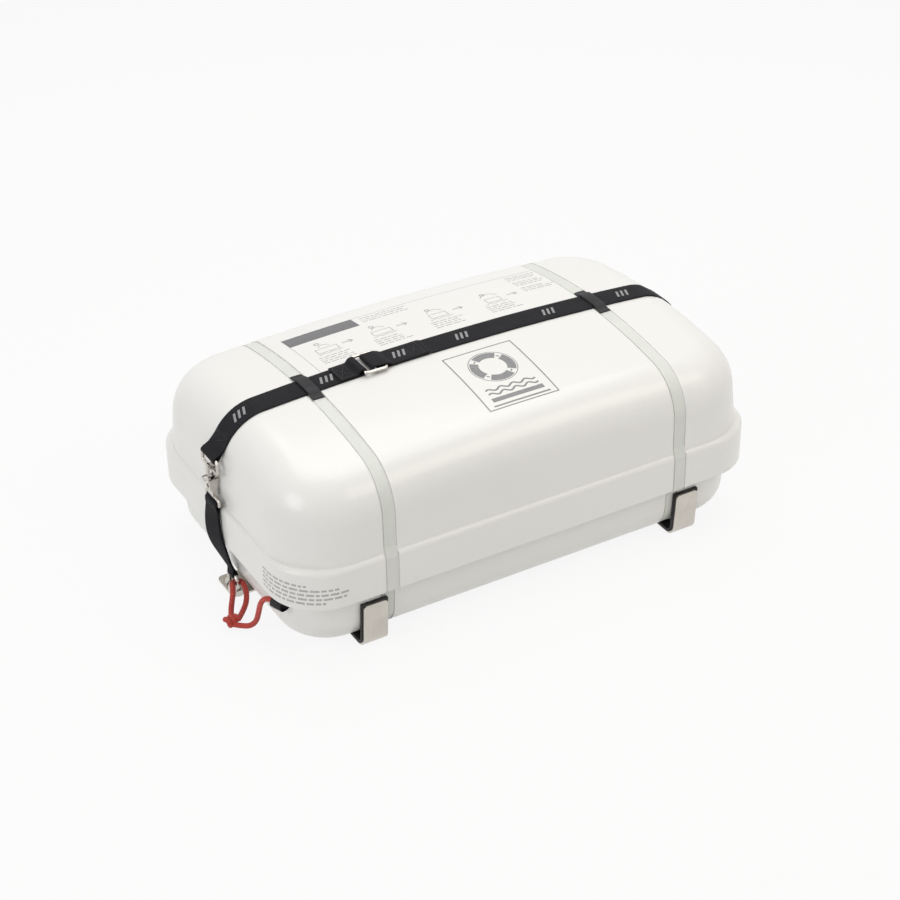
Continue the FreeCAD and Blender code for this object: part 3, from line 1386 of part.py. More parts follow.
def build():
    channels = boolean("MultiFuse", "band_channels",
                       channel("left", -S["band_spacing"] / 2),
                       channel("right", S["band_spacing"] / 2))
    upper_shell(channels)
    lower_shell(channels)
    shell_gasket()
    for side, sign in (("left", -1), ("right", 1)):
        binding_band(side, sign * S["band_spacing"] / 2)
        x = sign * S["strip_spacing"] / 2
        cradle_strip(side, x)
        rubber_lining(side, "front", x, -1)
        rubber_lining(side, "rear", x, 1)
        lashing_keeper(side, sign * S["band_spacing"] / 2)
    long_bar()
    rivets()
    shackle_bow()
    leg = S["shackle_inside_width"] / 2 + S["shackle_rod_radius"] + shackle_eye_half()
    headed_pin("shackle_pin", -anchor_reach, -S["anchor_offset"], leg,
               S["anchor_height"])
    headed_pin("anchor_pin", anchor_reach, 0.0,
               right_lug_offset() + S["lug_thickness"] / 2, S["anchor_height"])
    joining_link()
    end_link()
    lashing_left()
    lashing_right()
    slip_body()
    slip_tongue()
    slip_pin()
    slip_ring()
    lower_strop()
    painter_gland()
    painter()
    packed_things()


def check():
    """Stop if any object failed or any piece has no sound solid."""
    doc.recompute()
    for item in doc.Objects:
        if "Invalid" in item.State or "Error" in item.State:
            raise RuntimeError("%s failed: %s" % (item.Name, item.State))
    for item in NODES:
        shape = item.Shape
        if shape.isNull() or not shape.isValid() or not shape.Solids:
            raise RuntimeError("%s has no sound solid" % item.Label)


def write():
    os.makedirs("parts", exist_ok=True)
    for item in NODES:
        item.Shape.exportStep("parts/%s.step" % item.Label)


build()
check()
write()
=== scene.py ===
import json
import math
import random

import bmesh
import bpy
from mathutils import Euler, Matrix, Vector
from mathutils.bvhtree import BVHTree


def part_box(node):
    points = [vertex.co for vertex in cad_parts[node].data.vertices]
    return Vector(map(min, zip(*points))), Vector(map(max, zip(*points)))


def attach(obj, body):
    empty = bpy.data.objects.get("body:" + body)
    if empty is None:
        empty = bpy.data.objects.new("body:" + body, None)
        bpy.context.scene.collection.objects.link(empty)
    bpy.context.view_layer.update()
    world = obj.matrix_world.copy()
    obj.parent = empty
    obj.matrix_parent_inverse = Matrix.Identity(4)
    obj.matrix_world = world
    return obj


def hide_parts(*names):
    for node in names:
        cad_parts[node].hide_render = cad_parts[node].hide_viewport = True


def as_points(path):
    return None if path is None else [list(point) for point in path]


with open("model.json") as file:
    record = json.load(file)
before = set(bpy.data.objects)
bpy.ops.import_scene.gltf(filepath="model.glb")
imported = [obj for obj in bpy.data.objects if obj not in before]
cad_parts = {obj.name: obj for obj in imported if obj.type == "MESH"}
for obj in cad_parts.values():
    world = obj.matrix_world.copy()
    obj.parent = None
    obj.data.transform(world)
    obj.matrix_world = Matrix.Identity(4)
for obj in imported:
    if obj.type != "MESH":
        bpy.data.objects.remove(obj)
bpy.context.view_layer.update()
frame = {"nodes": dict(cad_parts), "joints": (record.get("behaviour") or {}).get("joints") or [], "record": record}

# Liferaft canister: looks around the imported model. Metres, the model's own frame.

random.seed(7)

MM = 0.001
NODES = frame["nodes"]
ROOT = next(name for name, nodes in frame["record"]["behaviour"]["bodies"].items()
            if "upper_shell" in nodes)
DOWN = Vector((0, 0, -1))
ACROSS = Vector((0, 1, 0))      # the lashing lies along X, its width along Y

# webbing and its fittings
THICK = 2.0 * MM
WIDE = 40.0 * MM
LIFT = 0.35 * MM + THICK / 2    # from the shell to the middle of the webbing on it
SNUG = 0.12 * MM                # between folded layers, and between a fold and its rod
LAP = THICK + SNUG
STEEL_ROD = 2.5 * MM
PIN_ROD = 3.0 * MM
STEP = 1.2 * MM                 # between cross-sections of the lashing
SWAY = 0.12 * MM
KEEPER = 2.0 * MM
STROP_TOP, STROP_FOOT = 17.0 * MM, 8.5 * MM     # half widths
STROP_GAP = 0.15 * MM

# thread, cord and ink
STITCH = 3.4 * MM
THREAD = 0.38 * MM
CORD = 8.0 * MM
PLAIT = 6.0 * MM
STRANDS = 4
PRINT_LIFT = 0.10 * MM
PRINT_DEPTH = 0.07 * MM
PRINT_GRID = 5.0 * MM

BELT_CORNER = 80.5 * MM
BELT_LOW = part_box("upper_shell")[0]

# camera: place, turn in degrees, focal length on its sensor
CAMERA_PLACE = (-1.32327, -2.27011, 1.78962)
CAMERA_TURN = (57.43741, 0.56808, -30.42612)
FOCAL_LENGTH, SENSOR = 83.47, 36.0

# lamps: place, size, power, colour; all face AIM
AIM = (0, 0, 0.15)
LAMPS = {
    "overhead": ((0.3, 0.6, 2.6), (2.6, 2.0), 33.0, (1.0, 0.995, 0.98)),
    "left": ((-2.6, -0.6, 1.5), (1.2, 1.2), 17.0, (1.0, 1.0, 1.0)),
    "front": ((1.2, -1.7, 2.1), (1.8, 0.9), 15.0, (1.0, 0.93, 0.80)),
}
WORLD_LIGHT, WORLD_SEEN = 0.44, 1.0
FLOOR_REACH = 12.0
FLOOR_WHITE = 0.88              # how much of the seen floor is plain white


def show(name, data):
    """A new object in the scene."""
    made = bpy.data.objects.new(name, data)
    bpy.context.scene.collection.objects.link(made)
    return made


# ---------------------------------------------------------------- materials

class Net:
    """A material's node tree with short calls."""

    def __init__(self, name):
        self.material = bpy.data.materials.new(name)
        self.material.use_nodes = True
        self.tree = self.material.node_tree
        self.shader = self.tree.nodes["Principled BSDF"]

    def add(self, kind, **settings):
        made = self.tree.nodes.new(kind)
        for key, value in settings.items():
            setattr(made, key, value)
        return made

    def feed(self, socket, value):
        """Gives a socket another node's output, a number or a colour."""
        if isinstance(value, (int, float)):
            socket.default_value = value
        elif isinstance(value, tuple):
            socket.default_value = (*value, 1.0)
        else:
            self.tree.links.new(value, socket)

    def place(self, scale=(1, 1, 1)):
        """Place on the object, in metres, scaled along each axis."""
        change = self.add("ShaderNodeMapping")
        change.inputs["Scale"].default_value = scale
        self.feed(change.inputs["Vector"], self.add("ShaderNodeTexCoord").outputs["Object"])
        return change.outputs["Vector"]

    def uv(self):
        """The two parts of a piece's UVs: along it and across or round it."""
        split = self.add("ShaderNodeSeparateXYZ")
        self.feed(split.inputs[0], self.add("ShaderNodeUVMap", uv_map="UVMap").outputs["UV"])
        return split.outputs[0], split.outputs[1]

    def noise(self, vector, scale, detail=4.0):
        made = self.add("ShaderNodeTexNoise")
        made.inputs["Scale"].default_value = scale
        made.inputs["Detail"].default_value = detail
        made.inputs["Roughness"].default_value = 0.55
        self.feed(made.inputs["Vector"], vector)
        return made.outputs["Fac"]

    def wave(self, vector, scale, along):
        made = self.add("ShaderNodeTexWave", wave_type="BANDS", bands_direction=along)
        made.inputs["Scale"].default_value = scale
        self.feed(made.inputs["Vector"], vector)
        return made.outputs["Fac"]

    def math(self, kind, *values, clamp=False):
        made = self.add("ShaderNodeMath", operation=kind, use_clamp=clamp)
        for place, value in enumerate(values):
            self.feed(made.inputs[place], value)
        return made.outputs["Value"]

    def sine(self, value, period):
        return self.math("SINE", self.math("MULTIPLY", value, 2 * math.pi / period))

    def spread(self, value, low, high):
        """A value from 0 to 1 spread between two others."""
        return self.math("MULTIPLY_ADD", value, high - low, low)

    def ramp(self, value, *stops):
        made = self.add("ShaderNodeValToRGB")
        table = made.color_ramp.elements
        while len(table) < len(stops):
            table.new(0.5)
        for item, (position, colour) in zip(table, stops):
            item.position = position
            item.color = (*colour, 1.0)
        self.feed(made.inputs["Fac"], value)
        return made.outputs["Color"]

    def mix(self, factor, first, second, kind="MIX"):
        made = self.add("ShaderNodeMix", data_type="RGBA", blend_type=kind)
        for place, value in ((0, factor), (6, first), (7, second)):     # the colour sockets
            self.feed(made.inputs[place], value)
        return made.outputs[2]

    def edge_light(self, radius):
        """1 on edges, 0 on flats, from the bevelled normal."""
        bevel = self.add("ShaderNodeBevel", samples=4)
        bevel.inputs["Radius"].default_value = radius
        dot = self.add("ShaderNodeVectorMath", operation="DOT_PRODUCT")
        self.feed(dot.inputs[0], bevel.outputs["Normal"])
        self.feed(dot.inputs[1], self.add("ShaderNodeNewGeometry").outputs["Normal"])
        return self.math("SUBTRACT", 1.0, dot.outputs["Value"], clamp=True)

    def seen(self):
        """1 for camera, mirrored and see-through rays, 0 for the rays that light things."""
        path = self.add("ShaderNodeLightPath")
        direct = self.math("MAXIMUM", path.outputs["Is Camera Ray"],
                           path.outputs["Is Glossy Ray"])
        return self.math("MAXIMUM", direct, path.outputs["Is Transmission Ray"])

    def finish(self, colour, rough, bump=None, strength=0.0, distance=0.0, **plain):
        """Feeds the shader; plain settings are numbers on its own sockets."""
        sockets = self.shader.inputs
        self.feed(sockets["Base Color"], colour)
        self.feed(sockets["Roughness"], rough)
        if bump is not None:
            made = self.add("ShaderNodeBump")
            made.inputs["Strength"].default_value = strength
            made.inputs["Distance"].default_value = distance
            self.feed(made.inputs["Height"], bump)
            self.feed(sockets["Normal"], made.outputs["Normal"])
        for name, value in plain.items():
            sockets[name.replace("_", " ")].default_value = value
        return self.material


def scaled(colour, factor, more=0.0):
    return tuple(min(part * factor + more, 1.0) for part in colour)


def gelcoat():
    """Moulded white gelcoat: soft gloss, faint orange peel and a slow change of tone."""
    net = Net("gelcoat")
    spot = net.place()
    tone = net.ramp(net.noise(spot, 3.0, 3.0),
                    (0.3, (0.862, 0.853, 0.828)), (0.7, (0.880, 0.873, 0.852)))
    grain = net.ramp(net.noise(spot, 900.0, 1.0),
                     (0.3, (0.975, 0.975, 0.972)), (0.7, (1.0, 1.0, 1.0)))
    rough = net.spread(net.noise(spot, 60.0, 5.0), 0.30, 0.38)
    peel = net.math("MULTIPLY", net.noise(spot, 170.0, 1.0), 0.03)
    ripple = net.math("MULTIPLY", net.noise(spot, 14.0, 1.0), 0.5)
    return net.finish(net.mix(1.0, tone, grain, "MULTIPLY"), rough,
                      net.math("ADD", peel, ripple), 0.08, 1.2 * MM,
                      Coat_Weight=0.28, Coat_Roughness=0.14, IOR=1.5)


def strapping():
    """Pale grey-green woven strapping of the binding bands."""
    net = Net("strapping")
    spot = net.place()
    colour = net.ramp(net.noise(spot, 22.0),
                      (0.25, (0.715, 0.735, 0.690)), (0.75, (0.775, 0.790, 0.745)))
    return net.finish(colour, 0.55, net.wave(spot, 360.0, "DIAGONAL"), 0.25, 0.3 * MM)


def stainless(name, base, low, high, along):
    """Brushed stainless with long fine scratches and brighter edges, which are a painted highlight."""
    net = Net(name)
    stretch = [900.0, 900.0, 900.0]
    stretch["XYZ".index(along)] = 14.0
    lines = net.noise(net.place(stretch), 1.0, 3.0)
    blotch = net.noise(net.place(), 30.0)
    dull = scaled(base, 0.80)
    colour = net.mix(0.5, net.ramp(lines, (0.3, dull), (0.7, base)),
                     net.ramp(blotch, (0.35, dull), (0.65, base)))
    # painted highlight: the edges take a paler colour, as if they caught the light
    edges = net.math("MULTIPLY", net.edge_light(0.6 * MM), 2.0, clamp=True)
    return net.finish(net.mix(edges, colour, (0.86, 0.84, 0.80)), net.spread(lines, low, high),
                      lines, 0.12, 0.1 * MM, Metallic=1.0)


def rubber(name, base, scale=260.0):
    """Dull rubber, or thread, with a fine grain and dusty patches."""
    net = Net(name)
    spot = net.place()
    grain = net.noise(spot, scale, 3.0)
    colour = net.ramp(net.noise(spot, 24.0), (0.42, base), (0.78, scaled(base, 2.2, 0.012)))
    return net.finish(colour, net.spread(grain, 0.52, 0.67), grain, 0.3, 0.2 * MM,
                      Specular_IOR_Level=0.25)


def webbing():
    """Black polyester webbing: herringbone ribs along it and fine picks across."""
    net = Net("webbing")
    along, across = net.uv()
    ribs = net.sine(across, 1.6 * MM)
    fold = net.math("PINGPONG", across, 3.2 * MM)
    picks = net.sine(net.math("ADD", along, fold), 1.1 * MM)
    height = net.math("ADD", net.math("MULTIPLY", ribs, 0.5), net.math("MULTIPLY", picks, 0.5))
    spot = net.place()
    shade = net.ramp(net.noise(spot, 45.0, 5.0),
                     (0.35, (0.0055, 0.0055, 0.0072)), (0.75, (0.013, 0.013, 0.0165)))
    fuzz = net.ramp(net.noise(spot, 900.0, 2.0),
                    (0.4, (0.004, 0.004, 0.005)), (0.8, (0.030, 0.030, 0.034)))
    return net.finish(net.mix(0.25, shade, fuzz), 0.72, height, 0.55, 0.25 * MM,
                      Sheen_Weight=0.03, Sheen_Roughness=0.4, Specular_IOR_Level=0.16)


def cordage():
    """Red braided painter: two sets of strands that cross, painted shade in the hollows between them, and a slow
    change of tone.
    """
    net = Net("cordage")
    along, round_it = net.uv()
    along = net.math("MULTIPLY", along, 2 * math.pi / PLAIT)
    turned = net.math("MULTIPLY", round_it, 2 * math.pi * STRANDS)
    braid = net.math("MULTIPLY", net.math("SINE", net.math("ADD", along, turned)),
                     net.math("SINE", net.math("SUBTRACT", along, turned)))
    spot = net.place()
    fine = net.math("MULTIPLY", net.noise(spot, 1200.0, 2.0), 0.35)
    base = net.ramp(net.noise(spot, 55.0, 3.0),
                    (0.3, (0.56, 0.034, 0.022)), (0.7, (0.70, 0.080, 0.055)))
    # painted shade: the colour darkens where the braid dips, in the hollows between strands
    dark = net.ramp(braid, (0.15, (0.55, 0.5, 0.5)), (0.6, (1.0, 1.0, 1.0)))
    return net.finish(net.mix(0.6, base, dark, "MULTIPLY"), 0.7, net.math("ADD", braid, fine),
                      0.6, 0.5 * MM, Sheen_Weight=0.2)


def printed(name, base, rough=0.4):
    """Ink with a slightly uneven cover."""
    net = Net(name)
    spot = net.place()
    colour = net.ramp(net.noise(spot, 300.0, 3.0), (0.4, base), (0.75, scaled(base, 1.25, 0.02)))
    return net.finish(colour, rough, net.noise(spot, 500.0, 1.0), 0.1, 0.05 * MM,
                      Coat_Weight=0.2)


def coated_cloth(name, base):
    """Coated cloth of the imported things."""
    net = Net(name)
    spot = net.place()
    weave = net.math("MULTIPLY", net.wave(spot, 500.0, "X"), net.wave(spot, 500.0, "Y"))
    colour = net.ramp(net.noise(spot, 9.0), (0.3, scaled(base, 0.75)), (0.7, base))
    return net.finish(colour, 0.6, weave, 0.2, 0.2 * MM)


def enamel(name, base):
    """Sprayed paint of the gas cylinder."""
    net = Net(name)
    spot = net.place()
    colour = net.ramp(net.noise(spot, 12.0, 3.0), (0.3, scaled(base, 0.85)), (0.7, base))
    return net.finish(colour, 0.3, net.noise(spot, 240.0, 1.0), 0.1, 0.3 * MM, Coat_Weight=0.4)


def brass():
    """Turned brass of the inflation valve."""
    net = Net("brass")
    spot = net.place()
    colour = net.ramp(net.noise(spot, 40.0, 3.0),
                      (0.3, (0.52, 0.36, 0.12)), (0.7, (0.72, 0.53, 0.22)))
    return net.finish(colour, 0.32, net.wave(spot, 380.0, "X"), 0.15, 0.1 * MM, Metallic=1.0)


MATERIALS = {
    "gelcoat_shell": gelcoat(),
    "burst_band": strapping(),
    "stainless_steel": stainless("stainless", (0.66, 0.62, 0.56), 0.26, 0.42, "Z"),
    "lining_rubber": rubber("lining", (0.020, 0.020, 0.020)),
    "gasket_rubber": rubber("gasket", (0.03, 0.03, 0.03)),
    "gland_rubber": rubber("gland", (0.012, 0.012, 0.013)),
    "keeper_rubber": rubber("keeper", (0.014, 0.014, 0.016), 500.0),
    "black_webbing": webbing(),
    "red_cord": cordage(),
    "raft_fabric": coated_cloth("raft_cloth", (0.72, 0.20, 0.03)),
    "pack_fabric": coated_cloth("pack_cloth", (0.70, 0.52, 0.06)),
    "pouch_fabric": coated_cloth("pouch_cloth", (0.06, 0.07, 0.11)),
    "cylinder_paint": enamel("cylinder_paint", (0.28, 0.31, 0.34)),
    "valve_brass": brass(),
}
SMALL_STEEL = stainless("polished_steel", (0.60, 0.57, 0.53), 0.16, 0.30, "Y")
THREAD_LOOK = rubber("thread", (0.040, 0.040, 0.044), 900.0)
INK_GREY = printed("ink_grey", (0.215, 0.215, 0.222))
INK_PALE = printed("ink_pale", (0.40, 0.40, 0.405))
INK_DARK = printed("ink_dark", (0.105, 0.105, 0.112))
WOVEN_MARK = printed("woven_mark", (0.26, 0.26, 0.27), 0.7)


def dress(piece, material):
    piece.data.materials.clear()
    piece.data.materials.append(material)


for item in frame["record"]["subparts"]:
    dress(NODES[item["node"]], MATERIALS[item["material_slot"]])
for name in ("shackle_bow", "shackle_pin", "anchor_pin", "joining_link", "lashing_end_link",
             "slip_body", "slip_tongue", "slip_hinge_pin", "slip_ring"):
    dress(NODES[name], SMALL_STEEL)


# ---------------------------------------------------------------- pieces

def new_piece(name, vertices, faces, slot, material=None, sharp=None):
    """A piece that rides on the canister; edges above the sharp angle stay sharp."""
    mesh = bpy.data.meshes.new(name)
    mesh.from_pydata([tuple(v) for v in vertices], [], faces)
    mesh.validate()
    piece = show(name, mesh)
    dress(piece, material or MATERIALS[slot])
    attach(piece, ROOT)
    if sharp:
        smooth(piece, sharp)
    return piece


def smooth(piece, angle):
    for face in piece.data.polygons:
        face.use_smooth = True
    limit = math.radians(angle)
    mesh = bmesh.new()
    mesh.from_mesh(piece.data)
    for edge in mesh.edges:
        edge.smooth = len(edge.link_faces) != 2 or edge.calc_face_angle(0.0) < limit
    mesh.to_mesh(piece.data)
    mesh.free()


def lay_uvs(piece, uvs):
    """UVs from one (along, across) for each vertex."""
    layer = piece.data.uv_layers.new(name="UVMap")
    for loop in piece.data.loops:
        layer.data[loop.index].uv = uvs[loop.vertex_index]


def join_rings(faces, low, high, count):
    """Adds the faces between two rings of vertices that begin at low and at high.

    They face outwards where each ring runs anticlockwise, seen from the high one's far side.
    """
    for index in range(count):
        after = (index + 1) % count
        faces.append((low + index, low + after, high + after, high + index))


def ring_cap(start, count, turned=False):
    """One face over a ring of vertices."""
    cap = tuple(range(start, start + count))
    return cap[::-1] if turned else cap


def surface_of(*names):
    vertices, faces = [], []
    for name in names:
        mesh = NODES[name].data
        start = len(vertices)
        vertices += [vertex.co.copy() for vertex in mesh.vertices]
        faces += [[start + index for index in face.vertices] for face in mesh.polygons]
    return BVHTree.FromPolygons(vertices, faces)


SHELL = surface_of("upper_shell", "lower_shell")


# ---------------------------------------------------------------- strips of webbing

class Station:
    """One cross-section of a strip: distance along it, centre, directions, half width.

    gather is the depth of the folds where the strip is drawn together.
    """

    def __init__(self, along, centre, side, out, half, gather=0.0):
        self.along = along
        self.centre = centre
        self.side = side
        self.out = out
        self.half = half
        self.gather = gather


def selvedge(half, thick):
    """Cross-section of webbing: two flat faces and rounded edges."""
    outline = []
    deep = thick / 2
    flat, bead = 0.97 * half, 1.06 * deep
    for sign in (1, -1):
        outline += [(sign * flat * (1.0 - step / 4.0), sign * deep) for step in range(9)]
        for step in range(1, 4):
            angle = math.pi * step / 4
            outline.append((-sign * (flat + bead * math.sin(angle)),
                            sign * bead * math.cos(angle)))
    return outline


def strip(name, stations, thick, slot, replaced, closed=False):
    """Webbing through its stations; closed joins the last one to the first."""
    vertices, faces, uvs = [], [], []
    for station in stations:
        for across, height in selvedge(station.half, thick):
            share = across / station.half
            lift = height - 0.12 * thick * share ** 4
            lift += station.gather * math.sin(share * 2.5 * math.pi)
            vertices.append(station.centre + station.side * across + station.out * lift)
            uvs.append((station.along, across))
    rows = len(stations)
    count = len(vertices) // rows
    for row in range(rows if closed else rows - 1):
        join_rings(faces, row * count, (row + 1) % rows * count, count)
    if not closed:
        faces += [ring_cap(0, count, True), ring_cap((rows - 1) * count, count)]
    piece = new_piece(name, vertices, faces, slot, sharp=60.0)
    lay_uvs(piece, uvs)
    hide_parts(*replaced)


class Ribbon:
    """A run of webbing: its centre line at even steps, and a width to both sides."""

    def __init__(self, points, side, step):
        self.side = Vector(side)
        self.points = self.even(points, step)
        self.lengths = [0.0]
        for before, after in zip(self.points, self.points[1:]):
            self.lengths.append(self.lengths[-1] + (after - before).length)
        self.total = self.lengths[-1]

    @staticmethod
    def even(points, step):
        """The same line with its points at even steps."""
        total = sum((b - a).length for a, b in zip(points, points[1:]))
        count = max(int(total / step), 2)
        result = []
        index, done = 0, 0.0
        for number in range(count + 1):
            want = total * number / count
            while index < len(points) - 2 and \
                    done + (points[index + 1] - points[index]).length < want:
                done += (points[index + 1] - points[index]).length
                index += 1
            run = (points[index + 1] - points[index]).length
            share = 0.0 if run == 0 else (want - done) / run
            result.append(points[index].lerp(points[index + 1], min(max(share, 0.0), 1.0)))
        return result

    def frame_at(self, s):
        """Centre point, way along and outward normal at distance s."""
        s = min(max(s, 0.0), self.total)
        low, high = 0, len(self.lengths) - 1
        while high - low > 1:
            middle = (low + high) // 2
            if self.lengths[middle] <= s:
                low = middle
            else:
                high = middle
        run = self.lengths[high] - self.lengths[low]
        share = (s - self.lengths[low]) / run if run else 0.0
        spot = self.points[low].lerp(self.points[high], share)
        before = self.points[max(low - 1, 0)]
        after = self.points[min(high + 1, len(self.points) - 1)]
        way = (after - before).normalized()
        return spot, way, way.cross(self.side).normalized()

    def at(self, s, across, height=0.0):
        spot, _, out = self.frame_at(s)
        return spot + self.side * across + out * height

    def along_of(self, x):
        """Distance along the ribbon where it first reaches x."""
        return next((s for s, spot in zip(self.lengths, self.points) if spot.x >= x), self.total)

    def face(self, height):
        """From (along, across) to a point at this height off the middle, and the way out."""
        def place(s, across):
            out = self.frame_at(s)[2]
            return self.at(s, across, height), out if height > 0 else -out
        return place

    def mesh(self, name, width, thick, slot, replaced, sway=0.0):
        """The ribbon as a strip; sway is a small unevenness of its edges."""
        stations = []
        for s in self.lengths:
            drift = sway * (math.sin(s * 41.0) + 0.6 * math.sin(s * 97.0 + 1.0))
            stations.append(Station(s, self.at(s, drift), self.side, self.frame_at(s)[2],
                                    width / 2))
        strip(name, stations, thick, slot, replaced)


def box_of(name):
    """Low corner, high corner and middle of a node's box."""
    low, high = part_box(name)
    return low, high, (low + high) / 2


def shell_height(x):
    """Height of the canister's crown on its centre line."""
    return SHELL.ray_cast(Vector((x, 0, 1.0)), DOWN)[0].z


def outer_chain(points, start, end):
    """Clockwise part of the hull of points in the XZ plane, from start to end."""
    def turn(a, b, c):
        return (b[0] - a[0]) * (c[1] - a[1]) - (b[1] - a[1]) * (c[0] - a[0])

    spots = sorted(set(points + [start, end]))
    lower, upper = [], []
    for chain, order in ((lower, spots), (upper, spots[::-1])):
        for spot in order:
            while len(chain) >= 2 and turn(chain[-2], chain[-1], spot) <= 0:
                chain.pop()
            chain.append(spot)
    hull = (lower[:-1] + upper[:-1])[::-1]
    first = hull.index(start)
    hull = hull[first:] + hull[:first]
    return hull[:hull.index(end) + 1]


def arc(centre, radius, first, last, count=16):
    """Points round a centre in a plane, angles in degrees."""
    angles = [math.radians(first + (last - first) * step / count) for step in range(count + 1)]
    return [(centre[0] + radius * math.cos(angle), centre[1] + radius * math.sin(angle))
            for angle in angles]


def skin_top(first, last, lift, count=260):
    """The canister's crown on the centre line between two places, lifted off it."""
    spots = [first + (last - first) * step / count for step in range(count + 1)]
    return [(x, shell_height(x) + lift) for x in spots]


def skin_right(low, high, lift, count=90):
    """The canister's right end on the centre line between two heights, lifted off it."""
    result = []
    for step in range(count + 1):
        z = low + (high - low) * step / count
        spot = SHELL.ray_cast(Vector((1.0, 0, z)), Vector((-1, 0, 0)))[0]
        result.append((spot.x + lift, z))
    return result


def eased(points):
    """Points with their corners relaxed, ends kept."""
    inner = [((a[0] + 2 * b[0] + c[0]) / 4, (a[1] + 2 * b[1] + c[1]) / 4)
             for a, b, c in zip(points, points[1:], points[2:])]
    return [points[0]] + inner + [points[-1]]


def lashing_run(*legs):
    """A ribbon through several legs of XZ points."""
    flat = []
    for leg in legs:
        flat += [spot for spot in leg
                 if not flat or math.dist(spot, flat[-1]) > 0.02 * MM]
    return Ribbon([Vector((x, 0.0, z)) for x, z in flat], ACROSS, STEP)


def round_rod(rod):
    """Radius of the webbing's middle where it goes round a rod."""
    return rod + THICK / 2 + SNUG


def foot_fold(bar, rod, way, outer):
    """Folded end of a webbing round a rod: from the free end to where the run begins.

    way is the run's direction away from the rod. outer is 1 where the fold lies to its left.
    """
    out = (-way[1] * outer, way[0] * outer)
    around = round_rod(rod)
    sewn = LAP - around
    lean = math.degrees(math.atan2(out[1], out[0]))
    # distance along the run and height off it, from the free end to the rod
    steps = ((36 * MM, sewn), (16 * MM, sewn), (12 * MM, sewn + 0.1 * MM),
             (7 * MM, 0.45 * around), (4 * MM, 0.8 * around))
    tail = [(bar[0] + way[0] * s + out[0] * h, bar[1] + way[1] * s + out[1] * h)
            for s, h in steps]
    return eased(tail) + arc(bar, around, lean - 12 * outer, lean + 180 * outer)


def left_lashing():
    """From the hook's link to the slide: its plain run and its sewn tail, as ribbons."""
    slide_low, _, slide = box_of("joining_link")
    bar_x = slide_low.x + STEEL_ROD
    around = round_rod(STEEL_ROD)
    _, link_high, link = box_of("lashing_end_link")
    hook = (link.x, link_high.z - STEEL_ROD)
    crown = skin_top(hook[0] + 14 * MM, bar_x, LIFT)
    first = outer_chain(crown, hook, crown[-1])[1]
    way = Vector((first[0] - hook[0], first[1] - hook[1])).normalized()
    fold = foot_fold(hook, STEEL_ROD, way, 1)
    run = outer_chain(crown, fold[-1], crown[-1])
    back = arc((bar_x, slide.z), around, -90, 100)
    # off the bar and down onto the run, then flat on it to the free end
    top = shell_height(bar_x - 20 * MM) + LIFT + LAP
    end = bar_x - 37 * MM
    tail = [(bar_x - 5 * MM, slide.z + around * 0.8), (bar_x - 10 * MM, top + 0.6 * MM),
            (bar_x - 14 * MM, top), (end, shell_height(end) + LIFT + LAP)]
    whole = lashing_run(fold, run, back, tail)
    whole.mesh("webbing_left", WIDE, THICK, "black_webbing", ["lashing_webbing_left"], SWAY)
    return lashing_run(run), lashing_run(tail[::-1])


def right_lashing():
    """From its free end under the run, round the slide's middle bar, to the anchor pin."""
    _, slide_high, slide = box_of("joining_link")
    bar_x = slide_high.x - STEEL_ROD
    around = round_rod(STEEL_ROD)
    free = bar_x + 71 * MM
    under = skin_top(free, slide.x, LIFT, 60)
    loop = arc((slide.x, slide.z), around, 270, 90)
    landing = bar_x + 12 * MM
    over = [(bar_x - 2 * MM, slide.z + around), (bar_x + 2 * MM, slide.z + around - 0.1 * MM),
            (bar_x + 7 * MM, slide.z + around * 0.45),
            (landing, shell_height(landing) + LIFT + LAP + 0.25 * MM)]
    upper = skin_top(bar_x + 14 * MM, free + 1 * MM, LIFT + LAP, 40)
    anchor = box_of("anchor_pin")[2]
    pin = (anchor.x, anchor.z)
    rest = skin_top(free + 8 * MM, 0.34, LIFT)
    side = skin_right(0.03, 0.27, LIFT)
    belt = max(side, key=lambda item: item[0] * 1000 - item[1])
    up = Vector((belt[0] - pin[0], belt[1] - pin[1])).normalized()
    fold = foot_fold(pin, PIN_ROD, up, -1)
    down = outer_chain(rest + side, rest[0], fold[-1])
    whole = lashing_run(under, loop, eased(over), upper, down, fold[::-1])
    whole.mesh("webbing_right", WIDE, THICK, "black_webbing", ["lashing_webbing_right"], SWAY)
    return lashing_run(over[1:], upper, down)


LEFT_RUN, LEFT_TAIL = left_lashing()
RIGHT_RUN = right_lashing()


# ---------------------------------------------------------------- stitching

def capsule(vertices, faces, first, last, out, sides=6):
    """A short rounded thread between two points."""
    way = (last - first).normalized()
    side = out.cross(way).normalized()
    start = len(vertices)
    rings = ((0.0, 0.35), (0.12, 0.85), (0.5, 1.0), (0.88, 0.85), (1.0, 0.35))
    for share, size in rings:
        for index in range(sides):
            angle = 2 * math.pi * index / sides
            vertices.append(first + (last - first) * share
                            + side * (math.cos(angle) * THREAD * size)
                            + out * (math.sin(angle) * THREAD * size * 0.8))
    for ring in range(len(rings) - 1):
        join_rings(faces, start + ring * sides, start + (ring + 1) * sides, sides)
    faces += [ring_cap(start, sides, True), ring_cap(len(vertices) - sides, sides)]


def stitches(name, place, rows, slot="black_webbing"):
    """Thread stitches, half sunk, along rows given as ((along, across), (along, across))."""
    vertices, faces = [], []
    for first, last in rows:
        count = max(round(math.dist(first, last) / STITCH), 1)
        for number in range(count):
            ends = [place(first[0] + (last[0] - first[0]) * share,
                          first[1] + (last[1] - first[1]) * share)
                    for share in ((number + 0.12) / count, (number + 0.88) / count)]
            capsule(vertices, faces, ends[0][0], ends[1][0], ends[0][1])
    new_piece(name, vertices, faces, slot, THREAD_LOOK, 80.0)


def box_and_cross(first, last, half):
    """Rows of a sewn box with its cross, between two distances along the webbing."""
    return [((first, -half), (first, half)), ((last, -half), (last, half)),
            ((first, -half), (last, -half)), ((first, half), (last, half)),
            ((first, -half), (last, half)), ((first, half), (last, -half))]


